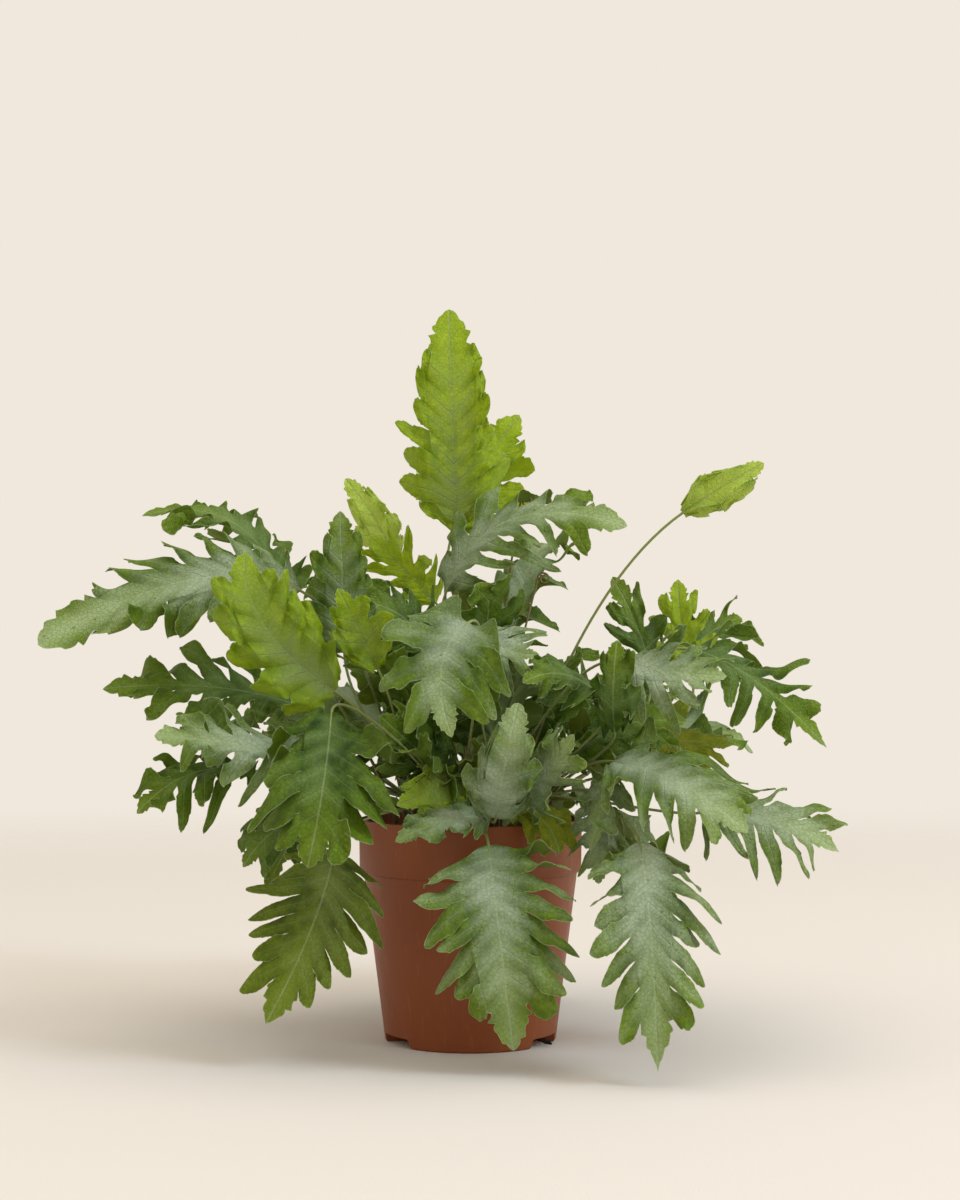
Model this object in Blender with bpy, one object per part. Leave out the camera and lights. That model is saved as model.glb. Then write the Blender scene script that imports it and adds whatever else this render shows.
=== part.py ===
"""Potted blue star fern: a nursery pot, its root ball, a creeping rhizome, fronds and croziers.

Lengths are millimetres until a mesh is made, which is in metres. The origin is on the ground at
the pot's axis, +Z is up and -Y is the side that faces the viewer.
"""

import math
import random
from types import SimpleNamespace

import bmesh
import bpy
import numpy as np
from mathutils.bvhtree import BVHTree

MM = 0.001
SEAT_GAP = 0.3

# Pot: a 12 cm nursery pot with a stepped rim band and three drain notches in its foot.
POT_HEIGHT = 118.0
RIM_RADIUS = 60.0
RIM_HEIGHT = 27.0
RIM_STEP = 2.6
FOOT_RADIUS = 46.0
POT_WALL = 1.2
POT_FLOOR = 2.0
POT_SIDES = 36
NOTCH_AZIMUTHS = (-150.0, -30.0, 90.0)
NOTCH_HALF_ANGLE = 18.0
NOTCH_HEIGHT = 5.0
NOTCH_INNER_RADIUS = 36.0
DRAIN_RADIUS = 3.0
DRAIN_FROM_AXIS = 41.0

# Root ball: potting soil held together by roots, up to a little below the rim.
SOIL_TOP = 105.0
SOIL_EDGE_DIP = 2.5
SOIL_SIDES = 18
ROOT_RADIUS = 0.8

# Rhizome: ten creeping arms on the soil, each with a row of sockets for the stipes.
ARM_COUNT = 10
ARM_LENGTH = 46.0
ARM_HALF_WIDTH = 4.4
ARM_VALLEY = 14.6
ARM_WIGGLE = 1.5
RHIZOME_HEIGHT = 8.0
RHIZOME_BEVEL = 1.8
SOCKETS_PER_ARM = 6
FIRST_SOCKET = 10.0
SOCKET_PITCH = 6.0
SOCKET_DEPTH = 4.5
SOCKET_RADIUS = 1.9

# Stipe and blade of a frond. The lobes stand on the lower four fifths of the rib.
STIPE_RADIUS = 1.0
STIPE_RINGS = 7
BLADE_HALF_THICK = 0.45
RIB_HALF_THICK = 0.9
LOBED_SHARE = 0.8
WIDEST_AT = 0.25
TROUGH = 0.14
DROOP = 0.2

# A lobe leans this many degrees from square to the rib, at the blade's foot and further at its
# tip. Its corners are shares of its length and of half its width.
LEAN_AT_FOOT = 15.0
MORE_LEAN_AT_TIP = 45.0
LOWER_SHOULDER = (0.6, -0.8)
LOBE_TIP = (1.0, 0.1)
UPPER_SHOULDER = (0.72, 0.74)

# How far a frond may be moved, bowed and rolled to get clear of the others.
SEEN_REACH = (7.0, 34.0, 7.0)
HIDDEN_REACH = (22.0, 22.0, 18.0)
MOST_BOW = 9.0
MOST_ROLL = 55.0
CLEARANCE = 0.7
MOST_TRIES = 800
SOCKET_CHOICE = 3
LOWEST_LEAF = 4.0

# Crozier: a wire-thin stipe that winds up at its tip.
CROZIER_RADIUS = 0.9
CROZIER_TAPER = 0.25
CROZIER_STEPS = 8
CROZIER_BOW = 0.18
COIL_STEPS = 14
COIL_HALF_TURNS = 2.6
COIL_SHRINK = 0.58

RHIZOME_BASE = SOIL_TOP + SEAT_GAP
RHIZOME_TOP = RHIZOME_BASE + RHIZOME_HEIGHT

# How far the undivided wing reaches out of the blade's half width, by the tone of the frond.
WING_SHARE = {"blue": 0.30, "green": 0.34, "olive": 0.30, "lime": 0.58, "yellow": 0.42}
TONE_COLOUR = {
    "blue": (0.17, 0.27, 0.16),
    "green": (0.13, 0.22, 0.06),
    "olive": (0.12, 0.17, 0.04),
    "lime": (0.27, 0.42, 0.04),
    "yellow": (0.36, 0.40, 0.04),
}

# name, tone, base, middle and tip of the rib, half width, way that the upper face looks, lobes
# on each side. Each place is where the frond is seen from the front, with its depth judged.
SEEN_FRONDS = (
    ("crown_lime", "lime", (-8, 15, 277), (-10, 8, 334), (-12, 22, 397), 31, (0, -1, 0.15), 7),
    ("crown_back", "lime", (-10, 42, 275), (4, 50, 307), (28, 62, 343), 36, (0, -1, 0.3), 6),
    ("back_pale", "lime", (-44, 92, 261), (-55, 98, 284), (-74, 104, 310), 15, (0, -1, 0.3), 3),
    ("back_left", "lime", (-20, 68, 236), (-38, 74, 255), (-59, 80, 275), 24, (0, -1, 0.4), 5),
    ("arch_right", "blue", (-13, -8, 240), (22, -20, 278), (83, -25, 274), 33, (-0.2, -1, 0.9), 6),
    ("wing_left", "blue", (-90, -30, 240), (-146, -42, 245), (-223, -52, 211), 34, (0, -1, 0.6), 8),
    ("wing_back", "green", (-101, 12, 236), (-131, 20, 279), (-182, 28, 283), 32, (0, -0.3, 1), 6),
    ("lime_left", "lime", (-69, -60, 187), (-104, -78, 221), (-114, -72, 258), 29, (0, -1, 0.35), 5),
    ("spear_left", "blue", (-66, -35, 207), (-67, -38, 245), (-68, -42, 281), 20, (0, -1, 0.2), 5),
    ("lime_inner", "lime", (-48, -48, 199), (-58, -58, 220), (-68, -62, 240), 18, (0, -1, 0.3), 3),
    ("star_centre", "blue", (-1, -88, 222), (-14, -116, 200), (-9, -118, 166), 37, (0, -0.9, 0.6), 4),
    ("star_right", "blue", (5, -52, 218), (18, -62, 209), (35, -66, 206), 25, (0, -0.8, 0.7), 4),
    ("fringe_right", "green", (69, -62, 183), (47, -82, 196), (26, -92, 192), 18, (0, -0.8, 0.8), 4),
    ("upright_right", "green", (72, -62, 169), (70, -80, 191), (72, -84, 215), 15, (0, -1, 0.2), 3),
    ("left_mid", "green", (-91, -18, 179), (-137, -30, 189), (-193, -32, 188), 29, (0, -0.7, 0.8), 6),
    ("left_blue", "blue", (-69, -62, 150), (-115, -88, 161), (-156, -98, 166), 27, (0, -0.8, 0.8), 6),
    ("left_low", "green", (-118, -15, 145), (-147, -38, 143), (-173, -46, 124), 25, (0, -0.6, 0.8), 5),
    ("front_left", "green", (-69, -92, 177), (-71, -126, 141), (-78, -128, 104), 35, (0, -1, 0.35), 6),
    ("droop_left", "olive", (-69, -68, 107), (-79, -88, 70), (-101, -96, 24), 34, (0, -1, 0.1), 7),
    ("left_scrap", "green", (-85, -8, 122), (-106, -14, 111), (-121, -14, 93), 23, (0, -0.8, 0.5), 4),
    ("front_droop", "blue", (10, -78, 110), (15, -112, 69), (22, -106, 13), 41, (0, -1, 0.15), 8),
    ("rim_left", "blue", (8, -62, 122), (-13, -80, 121), (-37, -90, 112), 17, (0, -0.8, 0.6), 3),
    ("droop_right", "blue", (83, -104, 114), (86, -134, 72), (89, -135, 8), 32, (0, -1, 0.1), 8),
    ("right_front", "blue", (72, -74, 152), (104, -108, 142), (134, -120, 120), 36, (0, -0.8, 0.8), 6),
    ("right_far_low", "blue", (118, -58, 125), (152, -74, 123), (185, -80, 107), 32, (0, -0.7, 0.8), 6),
    ("right_fingers", "blue", (75, -78, 201), (98, -94, 196), (127, -98, 194), 29, (0, -0.8, 0.8), 5),
    ("right_far", "green", (118, -10, 209), (150, -20, 193), (188, -26, 157), 31, (0.2, -0.6, 0.9), 6),
    ("front_small", "blue", (10, -70, 125), (14, -96, 151), (21, -100, 184), 21, (0, -1, 0.2), 4),
    ("front_fingers", "blue", (26, -58, 131), (40, -84, 146), (52, -94, 166), 24, (0, -0.9, 0.5), 5),
    ("front_yellow", "yellow", (26, -48, 128), (38, -74, 120), (44, -80, 105), 14, (0, -1, 0.4), 3),
    ("front_fringe", "lime", (-4, -60, 138), (-15, -78, 136), (-34, -91, 127), 18, (0, -0.8, 0.6), 5),
    ("right_up", "green", (99, 20, 186), (95, 25, 214), (78, 20, 249), 23, (0, -1, 0.2), 4),
    ("right_up_lime", "lime", (125, 50, 191), (120, 55, 219), (118, 60, 249), 22, (0, -1, 0.2), 4),
    ("right_back", "green", (108, 60, 196), (136, 68, 219), (156, 76, 228), 28, (0, -0.6, 0.9), 5),
    ("sprig", "lime", (115, 0, 283), (135, -4, 296), (158, -8, 309), 13, (0, -1, 0.3), 2),
    ("right_yellow", "yellow", (93, 15, 160), (119, 8, 159), (141, 0, 157), 26, (0, -0.5, 0.9), 5),
    ("right_low", "blue", (67, -58, 131), (65, -76, 112), (65, -80, 91), 19, (0, -1, 0.3), 4),
    ("right_broad", "blue", (72, -44, 150), (64, -64, 137), (56, -73, 112), 21, (0, -1, 0.5), 4),
    ("centre_low", "green", (-8, -60, 137), (-23, -78, 158), (-45, -90, 173), 28, (0, -0.8, 0.6), 5),
    ("right_inner", "green", (55, -34, 150), (80, -46, 168), (113, -54, 170), 31, (0, -0.7, 0.8), 5),
    ("top_inner", "green", (-20, -10, 205), (-38, -14, 227), (-60, -18, 233), 27, (0, -0.8, 0.6), 5),
)

# name, tone, azimuth, reach, height of base, middle and tip, half width, lobes: the fronds that
# the front view hides, round the back and inside.
HIDDEN_FRONDS = (
    ("back_high_right", "blue", 62, 105, 215, 262, 268, 28, 5),
    ("back_high_left", "green", 134, 124, 205, 248, 242, 30, 5),
    ("back_mid_a", "blue", 24, 184, 149, 178, 158, 29, 5),
    ("back_mid_b", "green", 48, 175, 165, 188, 160, 31, 5),
    ("back_mid_c", "blue", 84, 180, 160, 192, 168, 33, 6),
    ("back_mid_d", "blue", 130, 178, 158, 186, 156, 32, 5),
    ("back_mid_e", "green", 158, 165, 150, 172, 150, 29, 5),
    ("back_low_a", "blue", 34, 140, 128, 112, 62, 30, 5),
    ("back_low_b", "olive", 72, 150, 130, 116, 56, 32, 6),
    ("back_low_c", "blue", 108, 150, 128, 108, 48, 32, 6),
    ("back_low_d", "green", 146, 142, 130, 118, 70, 29, 5),
    ("inner_right", "green", -8, 95, 165, 178, 168, 27, 4),
    ("inner_left", "green", 188, 100, 160, 176, 166, 27, 4),
)

# name, foot of the coil, radius of the coil
CROZIERS = (
    ("crozier_high", (27, 2, 288), 3.4),
    ("crozier_mid", (36, -6, 246), 3.4),
    ("crozier_back", (-30, 48, 210), 3.2),
)


def unit(vector):
    return vector / np.linalg.norm(vector)


def polar(radius, degrees, height):
    angle = math.radians(degrees)
    return np.array([radius * math.cos(angle), radius * math.sin(angle), height])


# The form of a frond

def rib_frame(frond, u):
    """Point, way along, side and up of the rib at u, on the parabola through its three places."""
    bend = 2 * frond.middle - (frond.base + frond.tip) / 2
    point = (1 - u) ** 2 * frond.base + 2 * u * (1 - u) * bend + u * u * frond.tip
    along = unit((1 - u) * (bend - frond.base) + u * (frond.tip - bend))
    up = unit(frond.facing - (frond.facing @ along) * along)
    return point, along, np.cross(along, up), up


def outline_share(u):
    """Share of the half width that the lobes reach at u: widest a quarter of the way up."""
    below = max(0.0, WIDEST_AT - u) / WIDEST_AT
    above = max(0.0, u - WIDEST_AT) / (LOBED_SHARE - WIDEST_AT)
    return 1 - 0.2 * below**2 - 0.55 * above**1.5


def lobe_draws(frond):
    """Length, lift, twist and turn of every lobe, drawn once from the frond's own name."""
    draw = random.Random(frond.name)
    return {
        (side, index): SimpleNamespace(
            length=draw.uniform(0.82, 1.12),
            lift=draw.uniform(-0.45, 0.25),
            twist=draw.uniform(-0.3, 0.3),
            turn=draw.uniform(-2.5, 2.5),
        )
        for side in (1, -1)
        for index in range(frond.lobes)
    }


def rise_of(frond, reach, lift):
    """Height over the rib's plane at this reach: a shallow trough that bends over to the lobes."""
    return TROUGH * reach + (lift - DROOP) * reach * reach / frond.half


def sinus_point(frond, side, row, grow):
    """The notch between two lobes, where the wing ends."""
    u = LOBED_SHARE * row / frond.lobes
    point, along, across, up = rib_frame(frond, u)
    wing = WING_SHARE[frond.tone] * frond.half * outline_share(u) if row else STIPE_RADIUS
    return point + side * (wing + grow) * across + rise_of(frond, wing, 0.0) * up, up


def lobe_points(frond, side, index, grow):
    """Lower shoulder, tip and upper shoulder of one lobe, and the way up there.

    The lobe stands on the line between its two sinuses and leans towards the frond's tip.
    """
    drawn = frond.draws[side, index]
    u = LOBED_SHARE * (index + 0.5) / frond.lobes
    _, along, across, up = rib_frame(frond, u)
    below, _ = sinus_point(frond, side, index, 0.0)
    above, _ = sinus_point(frond, side, index + 1, 0.0)
    root = (below + above) / 2
    half_span = (above - below) / 2
    lean = math.radians(LEAN_AT_FOOT + MORE_LEAN_AT_TIP * u + drawn.turn)
    outward = math.cos(lean) * side * across + math.sin(lean) * along
    wing = WING_SHARE[frond.tone] * frond.half * outline_share(u)
    reach = frond.half * outline_share(u) * drawn.length
    length = (reach - wing) / math.cos(lean)
    swell = 1 + grow / np.linalg.norm(half_span)

    def place(along_share, across_share):
        out = wing + (reach - wing) * along_share
        height = rise_of(frond, out, drawn.lift) - rise_of(frond, wing, 0.0)
        height += drawn.twist * across_share * along_share * np.linalg.norm(half_span)
        spot = root + (along_share * length + grow) * outward + across_share * swell * half_span
        return spot + height * up

    return place(*LOWER_SHOULDER), place(*LOBE_TIP), place(*UPPER_SHOULDER), up


def stipe_path(frond):
    """Ring centres and ways along the stipe: straight out of its socket, then one smooth bow."""
    sunk = frond.foot + np.array([0.0, 0.0, -SOCKET_DEPTH + SEAT_GAP])
    start = frond.foot + np.array([0.0, 0.0, 1.5])
    end, along, _, _ = rib_frame(frond, 0.0)
    span = np.linalg.norm(end - start)
    outward = (end - start) * np.array([1.0, 1.0, 0.0])
    upright = np.array([0.0, 0.0, 1.0])
    leave = unit(upright + frond.lean * outward / span) * span * frond.rise
    arrive = along * span * frond.rise
    centres, ways = [sunk, start], [upright, upright]
    for step in range(1, STIPE_RINGS - 1):
        v = step / (STIPE_RINGS - 1)
        centres.append(
            (2 * v**3 - 3 * v**2 + 1) * start
            + (v**3 - 2 * v**2 + v) * leave
            + (3 * v**2 - 2 * v**3) * end
            + (v**3 - v**2) * arrive
        )
        ways.append(
            (6 * v**2 - 6 * v) * (start - end)
            + (3 * v**2 - 4 * v + 1) * leave
            + (3 * v**2 - 2 * v) * arrive
        )
    return centres, ways


def frond_mesh(frond, grow=0.0):
    """Points and triangles of one closed frond, a stipe that widens into a blade cut in lobes.

    The blade is one thin plate: every outline point is a pair, one on each face, and each face
    has the same triangles. A grow above zero swells it on all sides, to test for room.
    """
    points, faces = [], []

    def put(point):
        points.append(point)
        return len(points) - 1

    def pair(point, up, half):
        return put(point + (half + grow) * up), put(point - (half + grow) * up)

    def plate(a, b, c):
        faces.append((a[0], b[0], c[0]))
        faces.append((a[1], c[1], b[1]))

    def rim(a, b):
        faces.append((a[0], a[1], b[1]))
        faces.append((a[0], b[1], b[0]))

    centres, ways = stipe_path(frond)
    _, _, _, up = rib_frame(frond, 0.0)
    rings = []
    for centre, way in zip(reversed(centres), reversed(ways)):
        way = unit(way)
        up = unit(up - (up @ way) * way)
        across = np.cross(way, up)
        radius = STIPE_RADIUS + grow
        rings.append([put(centre + radius * d) for d in (up, across, -up, -across)])
    for upper, lower in zip(rings, rings[1:]):
        for k in range(4):
            j = (k + 1) % 4
            faces.append((upper[k], upper[j], lower[j]))
            faces.append((upper[k], lower[j], lower[k]))
    faces.append(tuple(rings[-1][:3]))
    faces.append((rings[-1][0], rings[-1][2], rings[-1][3]))

    ribs = []
    for row in range(frond.lobes + 1):
        u = LOBED_SHARE * row / frond.lobes
        point, _, _, up = rib_frame(frond, u)
        ribs.append(pair(point, up, RIB_HALF_THICK - 0.4 * u))
    end, _, _, end_up = rib_frame(frond, 1.0)
    tip = pair(end, end_up, BLADE_HALF_THICK)
    top, right, bottom, left = rings[0]

    for side, beside in ((1, right), (-1, left)):
        sinuses = []
        for row in range(frond.lobes + 1):
            point, up = sinus_point(frond, side, row, grow)
            sinuses.append(pair(point, up, BLADE_HALF_THICK))
        first, rib = sinuses[0], ribs[0]
        faces.append((top, beside, first[0]))
        faces.append((top, first[0], rib[0]))
        faces.append((beside, first[1], first[0]))
        faces.append((beside, bottom, rib[1]))
        faces.append((beside, rib[1], first[1]))
        for index in range(frond.lobes):
            lower, outer, upper, up = lobe_points(frond, side, index, grow)
            a = pair(lower, up, BLADE_HALF_THICK)
            b = pair(outer, up, BLADE_HALF_THICK)
            c = pair(upper, up, BLADE_HALF_THICK)
            here, after = sinuses[index], sinuses[index + 1]
            plate(ribs[index], here, after)
            plate(ribs[index], after, ribs[index + 1])
            plate(here, a, c)
            plate(a, b, c)
            plate(here, c, after)
            for start, stop in ((here, a), (a, b), (b, c), (c, after)):
                rim(start, stop)
        u = LOBED_SHARE + 0.4 * (1 - LOBED_SHARE)
        point, along, across, up = rib_frame(frond, u)
        end_length = (1 - LOBED_SHARE) * np.linalg.norm(frond.tip - frond.base)
        width = min(0.3 * frond.half * (0.7 + WING_SHARE[frond.tone]), 0.4 * end_length) + grow
        shoulder = pair(point + side * width * across, up, BLADE_HALF_THICK)
        plate(ribs[-1], sinuses[-1], shoulder)
        plate(ribs[-1], shoulder, tip)
        rim(sinuses[-1], shoulder)
        rim(shoulder, tip)
    return np.array(points), faces


# Where the fronds stand, and how they are bent clear of each other

def arm_axis(arm, radius):
    """A place on the middle line of a rhizome arm, which winds a little to both sides."""
    azimuth = 360.0 / ARM_COUNT * arm + 8.0
    sway = ARM_WIGGLE * math.sin(radius / 9.0 + 2.3 * arm) * min(1.0, radius / 30.0)
    return polar(radius, azimuth, RHIZOME_TOP) + polar(sway, azimuth + 90.0, 0.0)


def sockets():
    return [
        arm_axis(arm, FIRST_SOCKET + SOCKET_PITCH * step)
        for step in range(SOCKETS_PER_ARM)
        for arm in range(ARM_COUNT)
    ]


def near_sockets(free, towards):
    """The free sockets nearest to a point two fifths of the way out to the blade."""
    wish = towards * np.array([1.0, 1.0, 0.0])
    wish = wish * min(0.4, 38.0 / max(1.0, np.linalg.norm(wish)))
    free.sort(key=lambda socket: np.linalg.norm((socket - wish)[:2]))
    return free[:SOCKET_CHOICE]


def seen_frond(row):
    name, tone, base, middle, tip, half, facing, lobes = row
    return SimpleNamespace(
        name=name, tone=tone, half=half, lobes=lobes, reach=SEEN_REACH,
        base=np.array(base, float), middle=np.array(middle, float), tip=np.array(tip, float),
        facing=unit(np.array(facing, float)), rise=0.9, lean=0.5,
    )


def hidden_frond(row):
    name, tone, azimuth, reach, low, mid, end, half, lobes = row
    return SimpleNamespace(
        name=name, tone=tone, half=half, lobes=lobes, reach=HIDDEN_REACH,
        base=polar(0.42 * reach, azimuth, low), middle=polar(0.74 * reach, azimuth, mid),
        tip=polar(reach, azimuth, end), facing=unit(polar(0.5, azimuth, 1.0)),
        rise=0.9, lean=0.5,
    )


def nudged(frond, effort, draw):
    """A copy moved, rolled about its rib and bowed, further the more effort it takes."""
    moved = SimpleNamespace(**vars(frond))
    shift = effort * np.array([draw.uniform(-limit, limit) for limit in frond.reach])
    bow = effort * draw.uniform(-MOST_BOW, MOST_BOW)
    roll = math.radians(effort * draw.uniform(-MOST_ROLL, MOST_ROLL))
    _, along, across, up = rib_frame(frond, 0.5)
    moved.base = frond.base + shift
    moved.middle = frond.middle + shift + bow * up
    moved.tip = frond.tip + shift
    moved.facing = math.cos(roll) * up + math.sin(roll) * across
    moved.half = frond.half * (1 - effort * draw.uniform(0.0, 0.25))
    moved.rise = frond.rise * (1 + effort * draw.uniform(-0.45, 0.35))
    moved.lean = frond.lean + effort * draw.uniform(-0.5, 1.0)
    return moved


def box_of(points, room=0.0):
    return points.min(axis=0) - room, points.max(axis=0) + room


def meets(box, other):
    return bool((box[0] <= other[1]).all() and (other[0] <= box[1]).all())


def tree_of(points, faces):
    return BVHTree.FromPolygons(points.tolist(), faces, all_triangles=True)


def stands_clear(points, faces, placed):
    """Whether a swollen mesh meets nothing placed so far, nor the soil and the ground."""
    inside = np.hypot(points[:, 0], points[:, 1]) < RIM_RADIUS + 2.0
    low = inside & (points[:, 2] < RHIZOME_TOP + 1.0)
    low[: 4 * STIPE_RINGS] = False
    if low.any() or points[:, 2].min() < LOWEST_LEAF:
        return False
    box = box_of(points)
    near = [tree for other, tree in placed if meets(box, other)]
    shell = tree_of(points, faces)
    return not any(shell.overlap(tree) for tree in near)


def settle(wanted, placed, free):
    """Each frond in turn takes the first socket and place, of ever wider tries, that is clear."""
    settled = []
    for frond in wanted:
        frond.draws = lobe_draws(frond)
        choice = near_sockets(free, frond.middle)
        draw = random.Random(frond.name + " place")
        for attempt in range(MOST_TRIES):
            trial = nudged(frond, min(1.0, 2.0 * attempt / MOST_TRIES), draw)
            pick = attempt % len(choice)
            trial.foot = choice[pick]
            if stands_clear(*frond_mesh(trial, CLEARANCE), placed):
                break
        else:
            raise RuntimeError(f"no room for {frond.name}")
        free.pop(pick)
        points, faces = frond_mesh(trial)
        placed.append((box_of(points), tree_of(points, faces)))
        settled.append(trial)
    return settled


# Croziers: young fronds still coiled at the tip

def crozier_mesh(foot, start, coil):
    """A wiry stipe that ends in a flat coil, whose radius falls to under half as it winds in."""
    sunk = foot + np.array([0.0, 0.0, -SOCKET_DEPTH + SEAT_GAP])
    leave = foot + np.array([0.0, 0.0, 1.5])
    path = [sunk]
    for step in range(CROZIER_STEPS + 1):
        v = step / CROZIER_STEPS
        bow = CROZIER_BOW * math.sin(math.pi * v) * (start - leave)[:2]
        place = (1 - v) * leave + v * start
        place[:2] -= bow
        path.append(place)
    centre = start + np.array([coil, 0.0, 1.0])
    for step in range(1, COIL_STEPS + 1):
        share = step / COIL_STEPS
        angle = math.pi * (1 - COIL_HALF_TURNS * share)
        radius = coil * (1 - COIL_SHRINK * share)
        path.append(centre + radius * np.array([math.cos(angle), 0.0, math.sin(angle)]))
    points, faces, rings = [], [], []
    up = np.array([0.0, 1.0, 0.0])
    for k, place in enumerate(path):
        way = unit(path[min(k + 1, len(path) - 1)] - path[max(k - 1, 0)])
        up = unit(up - (up @ way) * way)
        across = np.cross(way, up)
        radius = CROZIER_RADIUS - CROZIER_TAPER * k / len(path)
        rings.append(range(len(points), len(points) + 4))
        points += [place + radius * d for d in (up, across, -up, -across)]
    for low, high in zip(rings, rings[1:]):
        for k in range(4):
            j = (k + 1) % 4
            faces += [(low[k], low[j], high[j]), (low[k], high[j], high[k])]
    for ring in (rings[0], rings[-1]):
        faces += [(ring[0], ring[1], ring[2]), (ring[0], ring[2], ring[3])]
    return np.array(points), faces


# Objects and materials

def clear_scene():
    for obj in list(bpy.data.objects):
        bpy.data.objects.remove(obj, do_unlink=True)


def make_material(name, colour, roughness):
    material = bpy.data.materials.new(name)
    material.use_nodes = True
    shader = material.node_tree.nodes["Principled BSDF"]
    shader.inputs["Base Color"].default_value = (*colour, 1.0)
    shader.inputs["Roughness"].default_value = roughness
    shader.inputs["Metallic"].default_value = 0.0
    material.diffuse_color = (*colour, 1.0)
    return material


def make_object(name, points, faces, colour=None, roughness=0.5):
    mesh = bpy.data.meshes.new(name)
    mesh.from_pydata((np.asarray(points) * MM).tolist(), [], [tuple(face) for face in faces])
    shaped = bmesh.new()
    shaped.from_mesh(mesh)
    bmesh.ops.recalc_face_normals(shaped, faces=shaped.faces)
    shaped.to_mesh(mesh)
    shaped.free()
    obj = bpy.data.objects.new(name, mesh)
    bpy.context.scene.collection.objects.link(obj)
    if colour:
        mesh.materials.append(make_material(name, colour, roughness))
    return obj


def smooth(obj, degrees=35.0):
    obj.data.shade_smooth()
    obj.data.set_sharp_from_angle(angle=math.radians(degrees))


def combine(obj, others, operation, solver="EXACT"):
    """Joins these objects to the first one, or cuts them from it, and removes them."""
    group = bpy.data.collections.new("tools")
    for other in others:
        bpy.context.scene.collection.objects.unlink(other)
        group.objects.link(other)
    bpy.context.scene.collection.children.link(group)
    modifier = obj.modifiers.new(operation.lower(), "BOOLEAN")
    modifier.operation = operation
    modifier.solver = solver
    modifier.operand_type = "COLLECTION"
    modifier.collection = group
    bpy.context.view_layer.update()
    graph = bpy.context.evaluated_depsgraph_get()
    result = bpy.data.meshes.new_from_object(obj.evaluated_get(graph))
    obj.modifiers.clear()
    obj.data = result
    for other in others:
        bpy.data.objects.remove(other, do_unlink=True)
    bpy.data.collections.remove(group)


def turned(name, profile, sides, colour=None, roughness=0.5):
    """A solid of revolution. The profile runs from the axis, round the outside, to the axis."""
    points, faces, rings = [], [], []
    for radius, height in profile:
        if radius == 0:
            rings.append([len(points)] * sides)
            points.append((0.0, 0.0, height))
            continue
        rings.append(list(range(len(points), len(points) + sides)))
        points += [polar(radius, 360.0 * k / sides, height) for k in range(sides)]
    for low, high in zip(rings, rings[1:]):
        for k in range(sides):
            j = (k + 1) % sides
            corners = [low[k], low[j], high[j], high[k]]
            faces.append(list(dict.fromkeys(corners)))
    return make_object(name, points, faces, colour, roughness)


def sector_block(azimuth, inner, outer, low, high, half_low, half_high):
    """A block between two radii over a sector, whose ends slope in towards the top."""
    steps = 4
    points, faces = [], []
    for radius, height, half in (
        (inner, low, half_low), (outer, low, half_low),
        (outer, high, half_high), (inner, high, half_high),
    ):
        for k in range(steps + 1):
            points.append(polar(radius, azimuth - half + 2 * half * k / steps, height))
    row = steps + 1
    for band in range(4):
        for k in range(steps):
            a = band * row + k
            b = (band + 1) % 4 * row + k
            faces.append((a, a + 1, b + 1, b))
    faces.append([band * row for band in range(4)])
    faces.append([band * row + steps for band in range(4)])
    return make_object("notch", points, faces)


def drain_cutter(azimuth):
    centre = polar(DRAIN_FROM_AXIS, azimuth, 0.0)
    sides = 10
    points = [
        centre + polar(DRAIN_RADIUS, 360.0 * k / sides, height)
        for height in (NOTCH_HEIGHT - 2.0, NOTCH_HEIGHT + POT_WALL + 2.0)
        for k in range(sides)
    ]
    faces = [(k, (k + 1) % sides, sides + (k + 1) % sides, sides + k) for k in range(sides)]
    faces += [tuple(range(sides)), tuple(range(sides, 2 * sides))]
    return make_object("drain", points, faces)


# The pot

def outer_profile():
    top, band = POT_HEIGHT, POT_HEIGHT - RIM_HEIGHT
    body = RIM_RADIUS - RIM_STEP
    return [
        (0.0, 0.0), (FOOT_RADIUS - 1.2, 0.0), (FOOT_RADIUS, 1.2), (body, band - 1.6),
        (RIM_RADIUS - 0.8, band - 0.8), (RIM_RADIUS - 0.3, band + 0.6),
        (RIM_RADIUS, top - 0.8), (RIM_RADIUS - 0.5, top),
    ]


def inner_profile(gap=0.0):
    """The cavity's wall from the floor to the top, moved in by a gap."""
    band = POT_HEIGHT - RIM_HEIGHT
    body = RIM_RADIUS - RIM_STEP - POT_WALL - gap
    foot = FOOT_RADIUS - POT_WALL - gap
    return [
        (0.0, POT_FLOOR + gap), (foot, POT_FLOOR + gap), (body, band - 1.4),
        (RIM_RADIUS - 0.3 - POT_WALL - gap, band + 1.4),
    ]


def notch_blocks(grow):
    """The three drain notches, or the wider blocks that keep the soil out of them."""
    return [
        sector_block(
            azimuth, NOTCH_INNER_RADIUS - grow, FOOT_RADIUS + 8.0, -1.0, NOTCH_HEIGHT + grow,
            NOTCH_HALF_ANGLE + 1.6 * grow, NOTCH_HALF_ANGLE - 3.0 + 1.6 * grow,
        )
        for azimuth in NOTCH_AZIMUTHS
    ]


def build_pot():
    pot = turned("pot", outer_profile() + [(0.0, POT_HEIGHT)], POT_SIDES, (0.30, 0.085, 0.045), 0.42)
    wall = inner_profile()
    mouth = RIM_RADIUS - POT_WALL
    cavity = turned("cavity", wall + [(mouth, POT_HEIGHT + 1.0), (0.0, POT_HEIGHT + 1.0)], POT_SIDES)
    combine(cavity, notch_blocks(POT_WALL), "DIFFERENCE")
    combine(pot, notch_blocks(0.0), "DIFFERENCE")
    combine(pot, [cavity], "DIFFERENCE")
    combine(pot, [drain_cutter(azimuth) for azimuth in NOTCH_AZIMUTHS], "DIFFERENCE")
    smooth(pot)


# The soil, with the roots that come out of the drain on the right

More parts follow.
